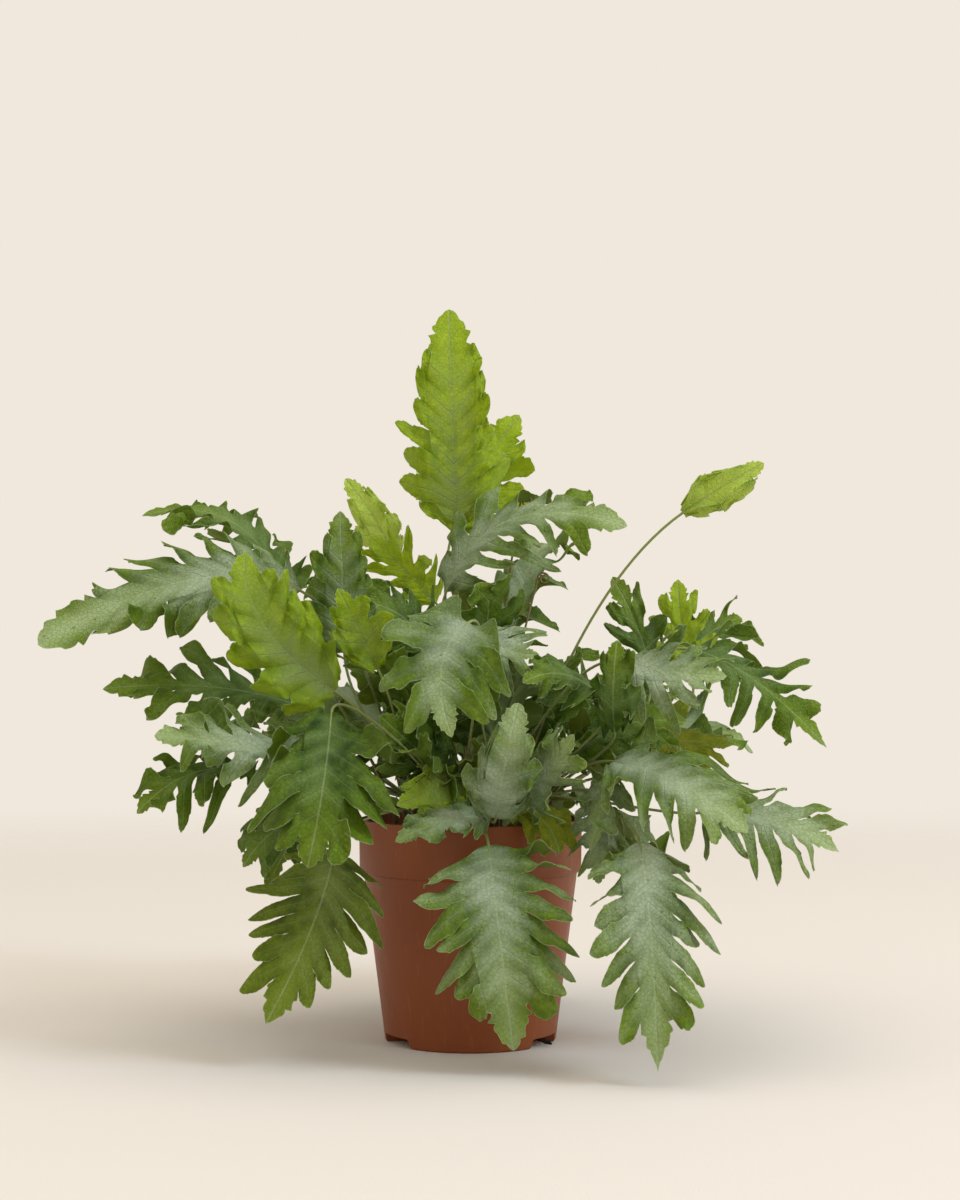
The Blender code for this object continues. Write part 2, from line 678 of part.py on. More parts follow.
def tube(name, path, radius):
    points, faces = [], []
    up = np.array([0.0, 0.0, 1.0])
    for k, place in enumerate(path):
        way = unit(path[min(k + 1, len(path) - 1)] - path[max(k - 1, 0)])
        up = unit(up - (up @ way) * way + np.array([1e-6, 0.0, 0.0]))
        across = np.cross(way, up)
        points += [place + radius * d for d in (up, across, -up, -across)]
    for ring in range(len(path) - 1):
        for k in range(4):
            a, b = 4 * ring + k, 4 * ring + (k + 1) % 4
            faces.append((a, b, b + 4, a + 4))
    faces += [(0, 1, 2, 3), tuple(range(len(points) - 4, len(points)))]
    return make_object(name, points, faces)


def build_root_ball():
    wall = inner_profile(SEAT_GAP)
    edge = wall[-1][0]
    top = [(edge, SOIL_TOP - SOIL_EDGE_DIP), (ARM_LENGTH + 3.0, SOIL_TOP), (0.0, SOIL_TOP)]
    ball = turned("root_ball", wall + top, SOIL_SIDES, (0.045, 0.026, 0.014), 0.95)
    combine(ball, notch_blocks(POT_WALL + SEAT_GAP), "DIFFERENCE")
    azimuth = NOTCH_AZIMUTHS[1]
    roots = []
    for turn, reach in ((-1.2, 50.5), (1.4, 47.5)):
        route = (
            (DRAIN_FROM_AXIS - 0.5, 12.0), (DRAIN_FROM_AXIS, 6.0), (DRAIN_FROM_AXIS + 0.8, 3.4),
            (0.5 * (DRAIN_FROM_AXIS + reach) + 1.0, 1.9), (reach, 1.2 + 0.6 * abs(turn)),
        )
        path = [polar(r, azimuth + turn * (1 + k / 3), z) for k, (r, z) in enumerate(route)]
        roots.append(tube("root", path, ROOT_RADIUS))
    combine(ball, roots, "UNION")
    smooth(ball)


# The rhizome

def rhizome_outline(inset):
    """Corners round all the arms: up one side of an arm, round its blunt end and back."""
    corners = []
    for arm in range(ARM_COUNT):
        azimuth = 360.0 / ARM_COUNT * arm + 8.0
        length = ARM_LENGTH - 1.5 * (arm % 3)
        valley = azimuth - 180.0 / ARM_COUNT
        corners.append(polar(ARM_VALLEY - inset, valley, 0.0))
        for radius, half in (
            (25.0, ARM_HALF_WIDTH), (37.0, ARM_HALF_WIDTH), (length - 1.5, 0.75 * ARM_HALF_WIDTH),
        ):
            corners.append((arm_axis(arm, radius), azimuth - 90.0, half - inset))
        corners.append((arm_axis(arm, length - inset), azimuth, 0.6))
        for radius, half in (
            (length - 1.5, 0.75 * ARM_HALF_WIDTH), (37.0, ARM_HALF_WIDTH), (25.0, ARM_HALF_WIDTH),
        ):
            corners.append((arm_axis(arm, radius), azimuth + 90.0, half - inset))
    flat = []
    for corner in corners:
        if isinstance(corner, tuple):
            axis, heading, half = corner
            corner = axis + polar(half, heading, 0.0)
        flat.append(corner * np.array([1.0, 1.0, 0.0]))
    return flat


def build_rhizome(taken):
    levels = (
        (RHIZOME_BEVEL, RHIZOME_BASE), (0.0, RHIZOME_BASE + 0.45 * RHIZOME_HEIGHT),
        (RHIZOME_BEVEL * 0.6, RHIZOME_TOP),
    )
    points, faces, rings = [], [], []
    for inset, height in levels:
        ring = rhizome_outline(inset)
        rings.append(list(range(len(points), len(points) + len(ring))))
        points += [corner + np.array([0.0, 0.0, height]) for corner in ring]
    count = len(rings[0])
    for low, high in zip(rings, rings[1:]):
        for k in range(count):
            j = (k + 1) % count
            faces.append((low[k], low[j], high[j], high[k]))
    faces += [tuple(rings[0]), tuple(rings[-1])]
    rhizome = make_object("rhizome", points, faces, (0.20, 0.11, 0.04), 0.9)
    cutters = []
    for foot in taken:
        low = foot + np.array([0.0, 0.0, -SOCKET_DEPTH])
        high = foot + np.array([0.0, 0.0, 1.0])
        ring = [polar(SOCKET_RADIUS, 45.0 + 90.0 * k, 0.0) for k in range(4)]
        corners = [low + spot for spot in ring] + [high + spot for spot in ring]
        sides = [(k, (k + 1) % 4, 4 + (k + 1) % 4, 4 + k) for k in range(4)]
        cutters.append(make_object("socket", corners, sides + [(0, 1, 2, 3), (4, 5, 6, 7)]))
    combine(rhizome, cutters, "DIFFERENCE")
    smooth(rhizome)


def pot_shell():
    """The pot's outside, swollen a little, for the fronds to be bent clear of."""
    profile = [(radius + 1.0 if radius else 0.0, height) for radius, height in outer_profile()]
    profile = [profile[0], profile[1], profile[3], profile[5], profile[7], (54.0, POT_HEIGHT + 1.0)]
    sides = 24
    points = [polar(r, 360.0 * k / sides, z) for r, z in profile[1:] for k in range(sides)]
    faces = []
    for ring in range(len(profile) - 2):
        for k in range(sides):
            a, b = ring * sides + k, ring * sides + (k + 1) % sides
            faces += [(a, b, b + sides), (a, b + sides, a + sides)]
    return np.array(points), faces


def main():
    clear_scene()
    build_pot()
    build_root_ball()
    free = sockets()
    shell = pot_shell()
    placed = [(box_of(shell[0]), tree_of(*shell))]
    feet = []
    for name, start, coil in CROZIERS:
        near_sockets(free, np.array(start, float))
        foot = free.pop(0)
        feet.append(foot)
        points, faces = crozier_mesh(foot, np.array(start, float), coil)
        placed.append((box_of(points), tree_of(points, faces)))
        smooth(make_object(name, points, faces, (0.24, 0.33, 0.06), 0.6), 100.0)
    wanted = [seen_frond(row) for row in SEEN_FRONDS]
    wanted += [hidden_frond(row) for row in HIDDEN_FRONDS]
    for frond in settle(wanted, placed, free):
        feet.append(frond.foot)
        points, faces = frond_mesh(frond)
        make_object("frond_" + frond.name, points, faces, TONE_COLOUR[frond.tone], 0.6)
    build_rhizome(feet)


main()
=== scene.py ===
"""The looks of a potted blue star fern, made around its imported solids.

Lengths are millimetres until a mesh is made, which is in metres. The origin is on the ground at
the pot's axis, +Z is up and -Y is the side that faces the viewer.
"""

import math
import random
from collections import namedtuple
from types import SimpleNamespace

import bmesh
import bpy
import numpy as np
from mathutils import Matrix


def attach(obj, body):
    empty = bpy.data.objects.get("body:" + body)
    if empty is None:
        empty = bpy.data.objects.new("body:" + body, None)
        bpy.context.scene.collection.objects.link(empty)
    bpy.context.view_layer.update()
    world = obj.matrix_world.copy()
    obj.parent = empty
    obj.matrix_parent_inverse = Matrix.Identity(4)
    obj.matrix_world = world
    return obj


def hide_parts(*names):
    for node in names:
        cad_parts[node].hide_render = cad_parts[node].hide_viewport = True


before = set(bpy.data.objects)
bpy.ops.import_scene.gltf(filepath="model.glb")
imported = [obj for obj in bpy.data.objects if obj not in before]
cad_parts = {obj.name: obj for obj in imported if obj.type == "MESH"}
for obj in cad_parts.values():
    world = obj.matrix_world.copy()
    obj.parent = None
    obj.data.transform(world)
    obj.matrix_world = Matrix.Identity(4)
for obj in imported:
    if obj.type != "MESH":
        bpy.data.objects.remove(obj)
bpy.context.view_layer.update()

MM = 0.001
UPRIGHT = np.array([0.0, 0.0, 1.0])
BACKWARDS = np.array([0.0, 1.0, 0.0])
FLAT = np.array([1.0, 1.0, 0.0])

# The photograph: its size and lens in pixels, and where the pot's axis and the horizon are.
PHOTO_HEIGHT = 1200.0
PHOTO_CENTRE = (480.0, 600.0)
AXIS_COLUMN = 470.5
HORIZON_ROW = 656.7
LENS_PIXELS = 2127.5
SENSOR = 36.0
CAMERA_DISTANCE = 1.150
CAMERA_HEIGHT = 0.205

# The pot, the soil and the rhizome, as in the solids.
POT_HEIGHT = 118.0
RIM_RADIUS = 60.0
RIM_HEIGHT = 27.0
RIM_STEP = 2.6
FOOT_RADIUS = 46.0
POT_WALL = 1.2
POT_FLOOR = 2.0
NOTCH_AZIMUTHS = (-150.0, -30.0, 90.0)
NOTCH_HALF_ANGLE = 18.0
NOTCH_HEIGHT = 5.0
NOTCH_INNER_RADIUS = 36.0
DRAIN_RADIUS = 3.0
DRAIN_FROM_AXIS = 41.0
SOIL_TOP = 105.0
SEAT_GAP = 0.3
ARM_COUNT = 10
FIRST_ARM_AZIMUTH = 8.0
ARM_LENGTH = 46.0
ARM_LENGTH_STEP = 1.5
ARM_WIGGLE = 1.5
RHIZOME_HEIGHT = 8.0
SOCKETS_PER_ARM = 6
FIRST_SOCKET = 10.0
SOCKET_PITCH = 6.0
SOCKET_DEPTH = 4.5
RHIZOME_BASE = SOIL_TOP + SEAT_GAP
RHIZOME_TOP = RHIZOME_BASE + RHIZOME_HEIGHT

# Slopes and roundings of the pot's profile, and how far what is cut out of it goes past it.
FOOT_DRAFT = 0.2
RIM_FLARE = 0.4
STEP_BELOW = 1.4
STEP_ABOVE = 0.6
FOOT_ROUND = 1.4
STEP_ROUND = 0.8
BAND_ROUND = 1.3
LIP_ROUND = 0.55
POT_SIDES = 144
HOLE_SIDES = 24
NOTCH_SLOPE = 3.0
CUT_PAST = 1.0

# The form and the places of the fronds, as in the solids.
STIPE_RADIUS = 1.0
STIPE_UPRIGHT = 1.5
STIPE_RISE = 0.9
STIPE_LEAN = 0.5
LOBED_SHARE = 0.8
WIDEST_AT = 0.25
TROUGH = 0.14
DROOP = 0.2
LEAN_AT_FOOT = 15.0
MORE_LEAN_AT_TIP = 45.0
SEEN_REACH = (7.0, 34.0, 7.0)
HIDDEN_REACH = (22.0, 22.0, 18.0)
MOST_BOW = 9.0
MOST_ROLL = 55.0
NARROWER = (0.0, 0.25)
RISE_CHANGE = (-0.45, 0.35)
LEAN_CHANGE = (-0.5, 1.0)
MOST_TRIES = 800
SOCKET_CHOICE = 3
SOCKET_SHARE = 0.4
SOCKET_REACH = 38.0
HIDDEN_BASE_AT = 0.42
HIDDEN_MIDDLE_AT = 0.74
BLADE_HALF_THICK = 0.45
CROZIER_RADIUS = 0.9
CROZIER_TAPER = 0.25
CROZIER_BOW = 0.18
COIL_HALF_TURNS = 2.6
COIL_SHRINK = 0.58
WING_SHARE = {"blue": 0.30, "green": 0.34, "olive": 0.30, "lime": 0.58, "yellow": 0.42}

# How far off a solid's corner may be from where its attempt puts it.
FOUND_WITHIN = 0.02

# The fine form that is added here: rows of points from the rib to the wing's edge and on to the
# end of a lobe, where they are closer, and places across a lobe from its lower to its upper margin.
WING_ROWS = np.array([0.0, 0.07, 0.22, 0.48, 0.74, 1.0])[:, None]
LOBE_ROWS = (1 - (1 - np.linspace(0.0, 1.0, 25)) ** 1.25)[1:, None]
ACROSS = np.array([-1.0, -0.9, -0.62, -0.3, 0.0, 0.3, 0.62, 0.9, 1.0])
END_ROWS = 26
VEIN_SWEEP = 0.11
SHEET_HALF_THICK = 0.2
STIPE_STEPS = 26
STIPE_SIDES = 7
STIPE_FOOT_RADIUS = 1.15
STIPE_TAPER = 0.4
RIB_STEPS = 30
RIB_ENDS_AT = 0.97
RIB_RADIUS = 0.7
RIB_TAPER = 0.5
CROZIER_STEPS = 40
COIL_STEPS = 45
CROZIER_SIDES = 10
CROZIER_SHARE = 0.78
COIL_THICKER = 0.2

# How far the lobes differ from one another, as the range of every draw, and their usual form.
LOBE_SPREAD = {
    "pleat": (0.6, 1.4), "blunt": (0.8, 1.25), "breadth": (0.76, 1.2), "tooth depth": (0.3, 1.3),
    "teeth": (-0.8, 0.8), "start": (0.0, 1.0), "fine teeth": (7.5, 9.5), "roll": (-0.4, 0.4),
    "fold": (-0.3, 0.5), "waves": (1.2, 2.2), "curl": (-0.36, 0.24), "sickle": (-0.14, 0.22),
}
WAIST_ENDS_AT = 0.45
LOBE_CLOSING = 0.62
FINE_TOOTH_DEPTH = 0.06
MORE_TWIST = 1.5
MORE_LIFT = 1.3
SWELL_PEAK = 0.336

# The rhizome's scales and the crumbs of peat.
ARM_RADIUS = 3.85
ARM_SIDES = 12
SCALES_PER_ARM = 150
SCALE_FOOT = 3.6
SCALE_LENGTHS = (1.6, 3.4)
SCALE_HALF_WIDTH = 0.45
SCALE_DEPTH = 0.12
CRUMB_COUNT = 900
CRUMBS_REACH = 55.0
CRUMB_SIZES = (0.5, 1.9)

# name, tone, base, middle and tip of the rib, half width, way that the upper face looks, lobes
# on each side: the fronds that the photograph shows.
SEEN_FRONDS = (
    ("crown_lime", "lime", (-8, 15, 277), (-10, 8, 334), (-12, 22, 397), 31, (0, -1, 0.15), 7),
    ("crown_back", "lime", (-10, 42, 275), (4, 50, 307), (28, 62, 343), 36, (0, -1, 0.3), 6),
    ("back_pale", "lime", (-44, 92, 261), (-55, 98, 284), (-74, 104, 310), 15, (0, -1, 0.3), 3),
    ("back_left", "lime", (-20, 68, 236), (-38, 74, 255), (-59, 80, 275), 24, (0, -1, 0.4), 5),
    ("arch_right", "blue", (-13, -8, 240), (22, -20, 278), (83, -25, 274), 33, (-0.2, -1, 0.9), 6),
    ("wing_left", "blue", (-90, -30, 240), (-146, -42, 245), (-223, -52, 211), 34, (0, -1, 0.6), 8),
    ("wing_back", "green", (-101, 12, 236), (-131, 20, 279), (-182, 28, 283), 32, (0, -0.3, 1), 6),
    ("lime_left", "lime", (-69, -60, 187), (-104, -78, 221), (-114, -72, 258), 29, (0, -1, 0.35), 5),
    ("spear_left", "blue", (-66, -35, 207), (-67, -38, 245), (-68, -42, 281), 20, (0, -1, 0.2), 5),
    ("lime_inner", "lime", (-48, -48, 199), (-58, -58, 220), (-68, -62, 240), 18, (0, -1, 0.3), 3),
    ("star_centre", "blue", (-1, -88, 222), (-14, -116, 200), (-9, -118, 166), 37, (0, -0.9, 0.6), 4),
    ("star_right", "blue", (5, -52, 218), (18, -62, 209), (35, -66, 206), 25, (0, -0.8, 0.7), 4),
    ("fringe_right", "green", (69, -62, 183), (47, -82, 196), (26, -92, 192), 18, (0, -0.8, 0.8), 4),
    ("upright_right", "green", (72, -62, 169), (70, -80, 191), (72, -84, 215), 15, (0, -1, 0.2), 3),
    ("left_mid", "green", (-91, -18, 179), (-137, -30, 189), (-193, -32, 188), 29, (0, -0.7, 0.8), 6),
    ("left_blue", "blue", (-69, -62, 150), (-115, -88, 161), (-156, -98, 166), 27, (0, -0.8, 0.8), 6),
    ("left_low", "green", (-118, -15, 145), (-147, -38, 143), (-173, -46, 124), 25, (0, -0.6, 0.8), 5),
    ("front_left", "green", (-69, -92, 177), (-71, -126, 141), (-78, -128, 104), 35, (0, -1, 0.35), 6),
    ("droop_left", "olive", (-69, -68, 107), (-79, -88, 70), (-101, -96, 24), 34, (0, -1, 0.1), 7),
    ("left_scrap", "green", (-85, -8, 122), (-106, -14, 111), (-121, -14, 93), 23, (0, -0.8, 0.5), 4),
    ("front_droop", "blue", (10, -78, 110), (15, -112, 69), (22, -106, 13), 41, (0, -1, 0.15), 8),
    ("rim_left", "blue", (8, -62, 122), (-13, -80, 121), (-37, -90, 112), 17, (0, -0.8, 0.6), 3),
    ("droop_right", "blue", (83, -104, 114), (86, -134, 72), (89, -135, 8), 32, (0, -1, 0.1), 8),
    ("right_front", "blue", (72, -74, 152), (104, -108, 142), (134, -120, 120), 36, (0, -0.8, 0.8), 6),
    ("right_far_low", "blue", (118, -58, 125), (152, -74, 123), (185, -80, 107), 32, (0, -0.7, 0.8), 6),
    ("right_fingers", "blue", (75, -78, 201), (98, -94, 196), (127, -98, 194), 29, (0, -0.8, 0.8), 5),
    ("right_far", "green", (118, -10, 209), (150, -20, 193), (188, -26, 157), 31, (0.2, -0.6, 0.9), 6),
    ("front_small", "blue", (10, -70, 125), (14, -96, 151), (21, -100, 184), 21, (0, -1, 0.2), 4),
    ("front_fingers", "blue", (26, -58, 131), (40, -84, 146), (52, -94, 166), 24, (0, -0.9, 0.5), 5),
    ("front_yellow", "yellow", (26, -48, 128), (38, -74, 120), (44, -80, 105), 14, (0, -1, 0.4), 3),
    ("front_fringe", "lime", (-4, -60, 138), (-15, -78, 136), (-34, -91, 127), 18, (0, -0.8, 0.6), 5),
    ("right_up", "green", (99, 20, 186), (95, 25, 214), (78, 20, 249), 23, (0, -1, 0.2), 4),
    ("right_up_lime", "lime", (125, 50, 191), (120, 55, 219), (118, 60, 249), 22, (0, -1, 0.2), 4),
    ("right_back", "green", (108, 60, 196), (136, 68, 219), (156, 76, 228), 28, (0, -0.6, 0.9), 5),
    ("sprig", "lime", (115, 0, 283), (135, -4, 296), (158, -8, 309), 13, (0, -1, 0.3), 2),
    ("right_yellow", "yellow", (93, 15, 160), (119, 8, 159), (141, 0, 157), 26, (0, -0.5, 0.9), 5),
    ("right_low", "blue", (67, -58, 131), (65, -76, 112), (65, -80, 91), 19, (0, -1, 0.3), 4),
    ("right_broad", "blue", (72, -44, 150), (64, -64, 137), (56, -73, 112), 21, (0, -1, 0.5), 4),
    ("centre_low", "green", (-8, -60, 137), (-23, -78, 158), (-45, -90, 173), 28, (0, -0.8, 0.6), 5),
    ("right_inner", "green", (55, -34, 150), (80, -46, 168), (113, -54, 170), 31, (0, -0.7, 0.8), 5),
    ("top_inner", "green", (-20, -10, 205), (-38, -14, 227), (-60, -18, 233), 27, (0, -0.8, 0.6), 5),
)

# name, tone, azimuth, reach, height of base, middle and tip, half width, lobes: the fronds round
# the back and inside.
HIDDEN_FRONDS = (
    ("back_high_right", "blue", 62, 105, 215, 262, 268, 28, 5),
    ("back_high_left", "green", 134, 124, 205, 248, 242, 30, 5),
    ("back_mid_a", "blue", 24, 184, 149, 178, 158, 29, 5),
    ("back_mid_b", "green", 48, 175, 165, 188, 160, 31, 5),
    ("back_mid_c", "blue", 84, 180, 160, 192, 168, 33, 6),
    ("back_mid_d", "blue", 130, 178, 158, 186, 156, 32, 5),
    ("back_mid_e", "green", 158, 165, 150, 172, 150, 29, 5),
    ("back_low_a", "blue", 34, 140, 128, 112, 62, 30, 5),
    ("back_low_b", "olive", 72, 150, 130, 116, 56, 32, 6),
    ("back_low_c", "blue", 108, 150, 128, 108, 48, 32, 6),
    ("back_low_d", "green", 146, 142, 130, 118, 70, 29, 5),
    ("inner_right", "green", -8, 95, 165, 178, 168, 27, 4),
    ("inner_left", "green", 188, 100, 160, 176, 166, 27, 4),
)

# name, foot of the coil, radius of the coil
CROZIERS = (
    ("crozier_high", (27, 2, 288), 3.4),
    ("crozier_mid", (36, -6, 246), 3.4),
    ("crozier_back", (-30, 48, 210), 3.2),
)

SLOT_OF_TONE = {
    "blue": "frond_blue_green", "green": "frond_green", "olive": "frond_olive",
    "lime": "frond_lime", "yellow": "frond_yellow",
}

# name, tone, azimuth, reach, height of base, middle and tip, half width, lobes: small young
# fronds deep inside, between the ones that are solids, as dense as the photograph shows them.
INNER_FRONDS = (
    ("inner_01", "green", -118, 74, 130, 152, 156, 25, 4),
    ("inner_02", "olive", -78, 66, 126, 150, 162, 26, 4),
    ("inner_03", "green", -42, 76, 132, 156, 158, 25, 4),
    ("inner_04", "green", -160, 84, 134, 160, 160, 27, 4),
    ("inner_05", "olive", -15, 82, 132, 160, 164, 27, 4),
    ("inner_06", "green", -98, 52, 158, 190, 206, 26, 4),
    ("inner_07", "blue", -55, 60, 162, 192, 200, 25, 4),
    ("inner_08", "green", -140, 66, 160, 194, 206, 27, 4),
    ("inner_09", "green", 8, 66, 158, 194, 208, 27, 4),
    ("inner_10", "olive", 172, 70, 158, 192, 202, 27, 4),
    ("inner_11", "green", 60, 62, 140, 182, 200, 30, 5),
    ("inner_12", "blue", 100, 60, 150, 196, 220, 30, 5),
    ("inner_13", "green", 140, 66, 144, 186, 206, 30, 5),
    ("inner_14", "green", -70, 36, 190, 226, 244, 25, 4),
    ("inner_15", "olive", 70, 40, 190, 226, 246, 26, 4),
    ("inner_16", "green", 30, 78, 150, 180, 186, 28, 4),
)

# How a tone's lobes are made: most tooth depth, teeth on a margin, width of a lobe, waviness.
LOBE_STYLE = {
    "blue": (0.14, 3.5, 1.42, 0.24),
    "green": (0.15, 3.5, 1.46, 0.30),
    "olive": (0.12, 3, 1.20, 0.22),
    "lime": (0.18, 4, 1.25, 0.34),
    "yellow": (0.08, 2, 1.40, 0.20),
}

# The fronds whose lobes differ from the usual: how blunt a lobe is, how broad against the tone's,
# how drawn in at its foot, the wing's share of the half width, where it isn't the tone's, how much
# more that is near the tip, how slim the frond's tip is, how wildly the lobes curl and twist, how
# far they all tilt the same way, and how much more or less wax there is.
SHAPE_FIELDS = ("blunt", "broad", "waist", "wing", "merge", "slim", "wild", "tilt", "wax")
USUAL_SHAPE = (2.6, 0.86, 0.16, None, 0.06, 0.8, 1.6, 0.3, 0.0)
SHAPE = {
    "crown_lime": (2.8, 0.86, 0.05, 0.38, 0.36, 0.62, 1.9, 0.35, 0.05),
    "crown_back": (2.6, 0.9, 0.1, 0.42, 0.1, 0.7, 1.6, 0.3, -0.3),
    "back_pale": (2.6, 1.0, 0.1, 0.5, 0.1, 0.7, 1.2, 0.2, -0.9),
    "lime_left": (2.7, 0.95, 0.0, 0.46, 0.1, 0.75, 1.8, 0.35, 0.2),
    "lime_inner": (2.6, 0.9, 0.1, 0.42, 0.1, 0.8, 1.5, 0.3, -0.3),
    "sprig": (2.2, 1.05, 0.0, 0.62, 0.1, 0.6, 0.5, 0.05, -0.9),
    "right_up_lime": (2.8, 0.74, 0.3, 0.32, 0.05, 0.8, 1.7, 0.3, -0.6),
    "front_droop": (1.8, 0.92, 0.0, 0.36, 0.14, 0.75, 1.1, 0.3, 0.12),
    "droop_right": (2.6, 0.76, 0.15, 0.36, 0.0, 1.9, 1.5, 0.3, 0.06),
    "droop_left": (1.8, 0.92, 0.05, 0.34, 0.08, 1.0, 0.9, 0.2, 0.0),
    "front_left": (2.6, 1.0, 0.0, 0.34, 0.1, 0.7, 1.4, 0.35, -0.15),
    "front_small": (2.4, 0.9, 0.1, 0.42, 0.3, 0.5, 1.0, 0.3, 0.1),
    "star_centre": (2.3, 0.86, 0.14, 0.32, 0.0, 0.8, 1.0, 0.3, 0.0),
    "wing_left": (3.0, 0.82, 0.1, 0.27, 0.2, 0.62, 1.0, 0.6, 0.15),
    "wing_back": (2.6, 0.66, 0.2, 0.26, 0.06, 0.8, 2.0, 0.3, 0.1),
    "arch_right": (2.4, 0.62, 0.15, 0.22, 0.0, 0.8, 1.4, 0.3, 0.1),
    "spear_left": (2.2, 0.95, 0.0, 0.46, 0.1, 0.9, 1.0, 0.2, -0.1),
    "right_front": (2.4, 0.72, 0.15, 0.36, 0.0, 0.8, 1.8, 0.4, 0.0),
    "right_far": (2.2, 0.64, 0.2, 0.20, 0.0, 1.2, 2.0, 0.3, 0.0),
    "right_far_low": (2.0, 0.70, 0.15, 0.24, 0.0, 1.3, 1.6, 0.3, 0.0),
    "right_fingers": (2.8, 0.66, 0.2, 0.24, 0.0, 0.8, 1.8, 0.3, 0.1),
    "right_up": (2.8, 0.66, 0.25, 0.20, 0.0, 0.8, 2.0, 0.3, 0.0),
    "right_back": (2.8, 0.66, 0.25, 0.20, 0.0, 0.8, 2.0, 0.3, 0.0),
    "left_mid": (2.8, 0.66, 0.25, 0.22, 0.0, 0.9, 1.9, 0.3, 0.0),
    "left_blue": (2.8, 0.72, 0.3, 0.26, 0.0, 0.8, 2.1, 0.4, 0.0),
    "left_low": (2.6, 0.70, 0.25, 0.24, 0.0, 0.8, 2.0, 0.3, 0.0),
    "star_right": (2.2, 0.7, 0.15, 0.26, 0.0, 0.8, 1.4, 0.3, 0.1),
    "back_left": (2.8, 0.66, 0.25, 0.30, 0.0, 0.8, 2.0, 0.3, -0.6),
}

# The studio, in metres and degrees. A light's row is its name, azimuth, height, distance, size,
# power and colour.
LIGHTS = (
    ("key", -38.0, 38.0, 4.0, 1.3, 60.0, (0.74, 0.87, 1.0)),
    ("fill", -92.0, 80.0, 3.2, 4.0, 60.0, (1.0, 0.95, 0.84)),
    ("side", -4.0, 16.0, 3.4, 1.6, 14.0, (1.0, 0.97, 0.92)),
)
LIGHTS_AIM = (0.0, 0.0, 0.15)
WALLS_UP_TO = 22
CEILING_FROM = 60
FLOOR_HALF = 2
FLOOR_FADES = (0.7, 1.9)


# Vectors

def units(vectors):
    """Each vector over its own length."""
    return vectors / np.linalg.norm(vectors, axis=-1, keepdims=True)


def polar(radius, degrees, height):
    """Radius times the cosine and the sine of the azimuth, and the height."""
    angle = np.radians(degrees)
    flat = [radius * np.cos(angle), radius * np.sin(angle)]
    return np.stack(np.broadcast_arrays(*flat, height), axis=-1)


def rising(low, high, values):
    """A smooth step from 0 at low to 1 at high: three squares of the share less two cubes."""
    x = np.clip((values - low) / (high - low), 0.0, 1.0)
    return x * x * (3 - 2 * x)


# Meshes

def grid_triangles(index):
    """Two triangles for every cell of a grid of point numbers, turning from rows to columns."""
    a, b, c, d = index[:-1, :-1], index[:-1, 1:], index[1:, 1:], index[1:, :-1]
    halves = [np.stack([a, b, c], axis=-1), np.stack([a, c, d], axis=-1)]
    return np.concatenate([half.reshape(-1, 3) for half in halves])


def weld(points, triangles, values):
    """Points that share a place become one, and triangles with no area are dropped."""
    _, first, renamed = np.unique(
        np.round(points, 3), axis=0, return_index=True, return_inverse=True
    )
    triangles = renamed.reshape(-1)[triangles]
    a, b, c = triangles.T
    return points[first], triangles[(a != b) & (b != c) & (a != c)], values[first]


def point_normals(points, triangles):
    """The sum of the area vectors of the triangles round each point, at length one."""
    a, b, c = (points[triangles[:, k]] for k in range(3))
    area = np.cross(b - a, c - a)
    total = np.zeros_like(points)
    for k in range(3):
        np.add.at(total, triangles[:, k], area)
    return total / np.maximum(np.linalg.norm(total, axis=1, keepdims=True), 1e-9)


def shell_of(points, triangles, half):
    """A closed shell: the sheet moved by half its thickness both ways, with a rim between."""
    normals = point_normals(points, triangles) * np.asarray(half)[:, None]
    edges = np.concatenate([triangles[:, pair] for pair in ([0, 1], [1, 2], [2, 0])])
    count = len(points)
    key = edges.min(axis=1) * count + edges.max(axis=1)
    _, place, times = np.unique(key, return_inverse=True, return_counts=True)
    i, j = edges[times[place.reshape(-1)] == 1].T
    rim = np.concatenate([np.stack([j, i, i + count], 1), np.stack([j, i + count, j + count], 1)])
    both = np.concatenate([points + normals, points - normals])
    return both, np.concatenate([triangles, triangles[:, ::-1] + count, rim])


def tube(path, radii, reference, sides):
    """Rings of points round a path, square to it, and both ends drawn in to a point."""
    ways = units(np.gradient(path, axis=0))
    up = units(reference - (ways @ reference)[:, None] * ways)
    across = np.cross(ways, up)
    path = np.concatenate([path[:1], path, path[-1:]])
    up = np.concatenate([up[:1], up, up[-1:]])
    across = np.concatenate([across[:1], across, across[-1:]])
    radii = np.concatenate([[0.0], radii, [0.0]])
    turn = np.linspace(0.0, 2 * np.pi, sides, endpoint=False)[None, :, None]
    ring = np.cos(turn) * up[:, None] + np.sin(turn) * across[:, None]
    points = path[:, None] + radii[:, None, None] * ring
    index = np.arange(len(path) * sides).reshape(len(path), sides)
    index = np.concatenate([index, index[:, :1]], axis=1)
    return points.reshape(-1, 3), grid_triangles(index)


def copies(points, faces):
    """The points of many like shapes, one after another, and the triangles of all of them."""
    count, size = points.shape[:2]
    triangles = faces[None] + size * np.arange(count)[:, None, None]
    return points.reshape(-1, 3), triangles.reshape(-1, 3)


def join(parts):
    """Several (points, triangles) as one."""
    points, triangles, start = [], [], 0
    for some, faces in parts:
        points.append(some)
        triangles.append(faces + start)
        start += len(some)
    return np.concatenate(points), np.concatenate(triangles)


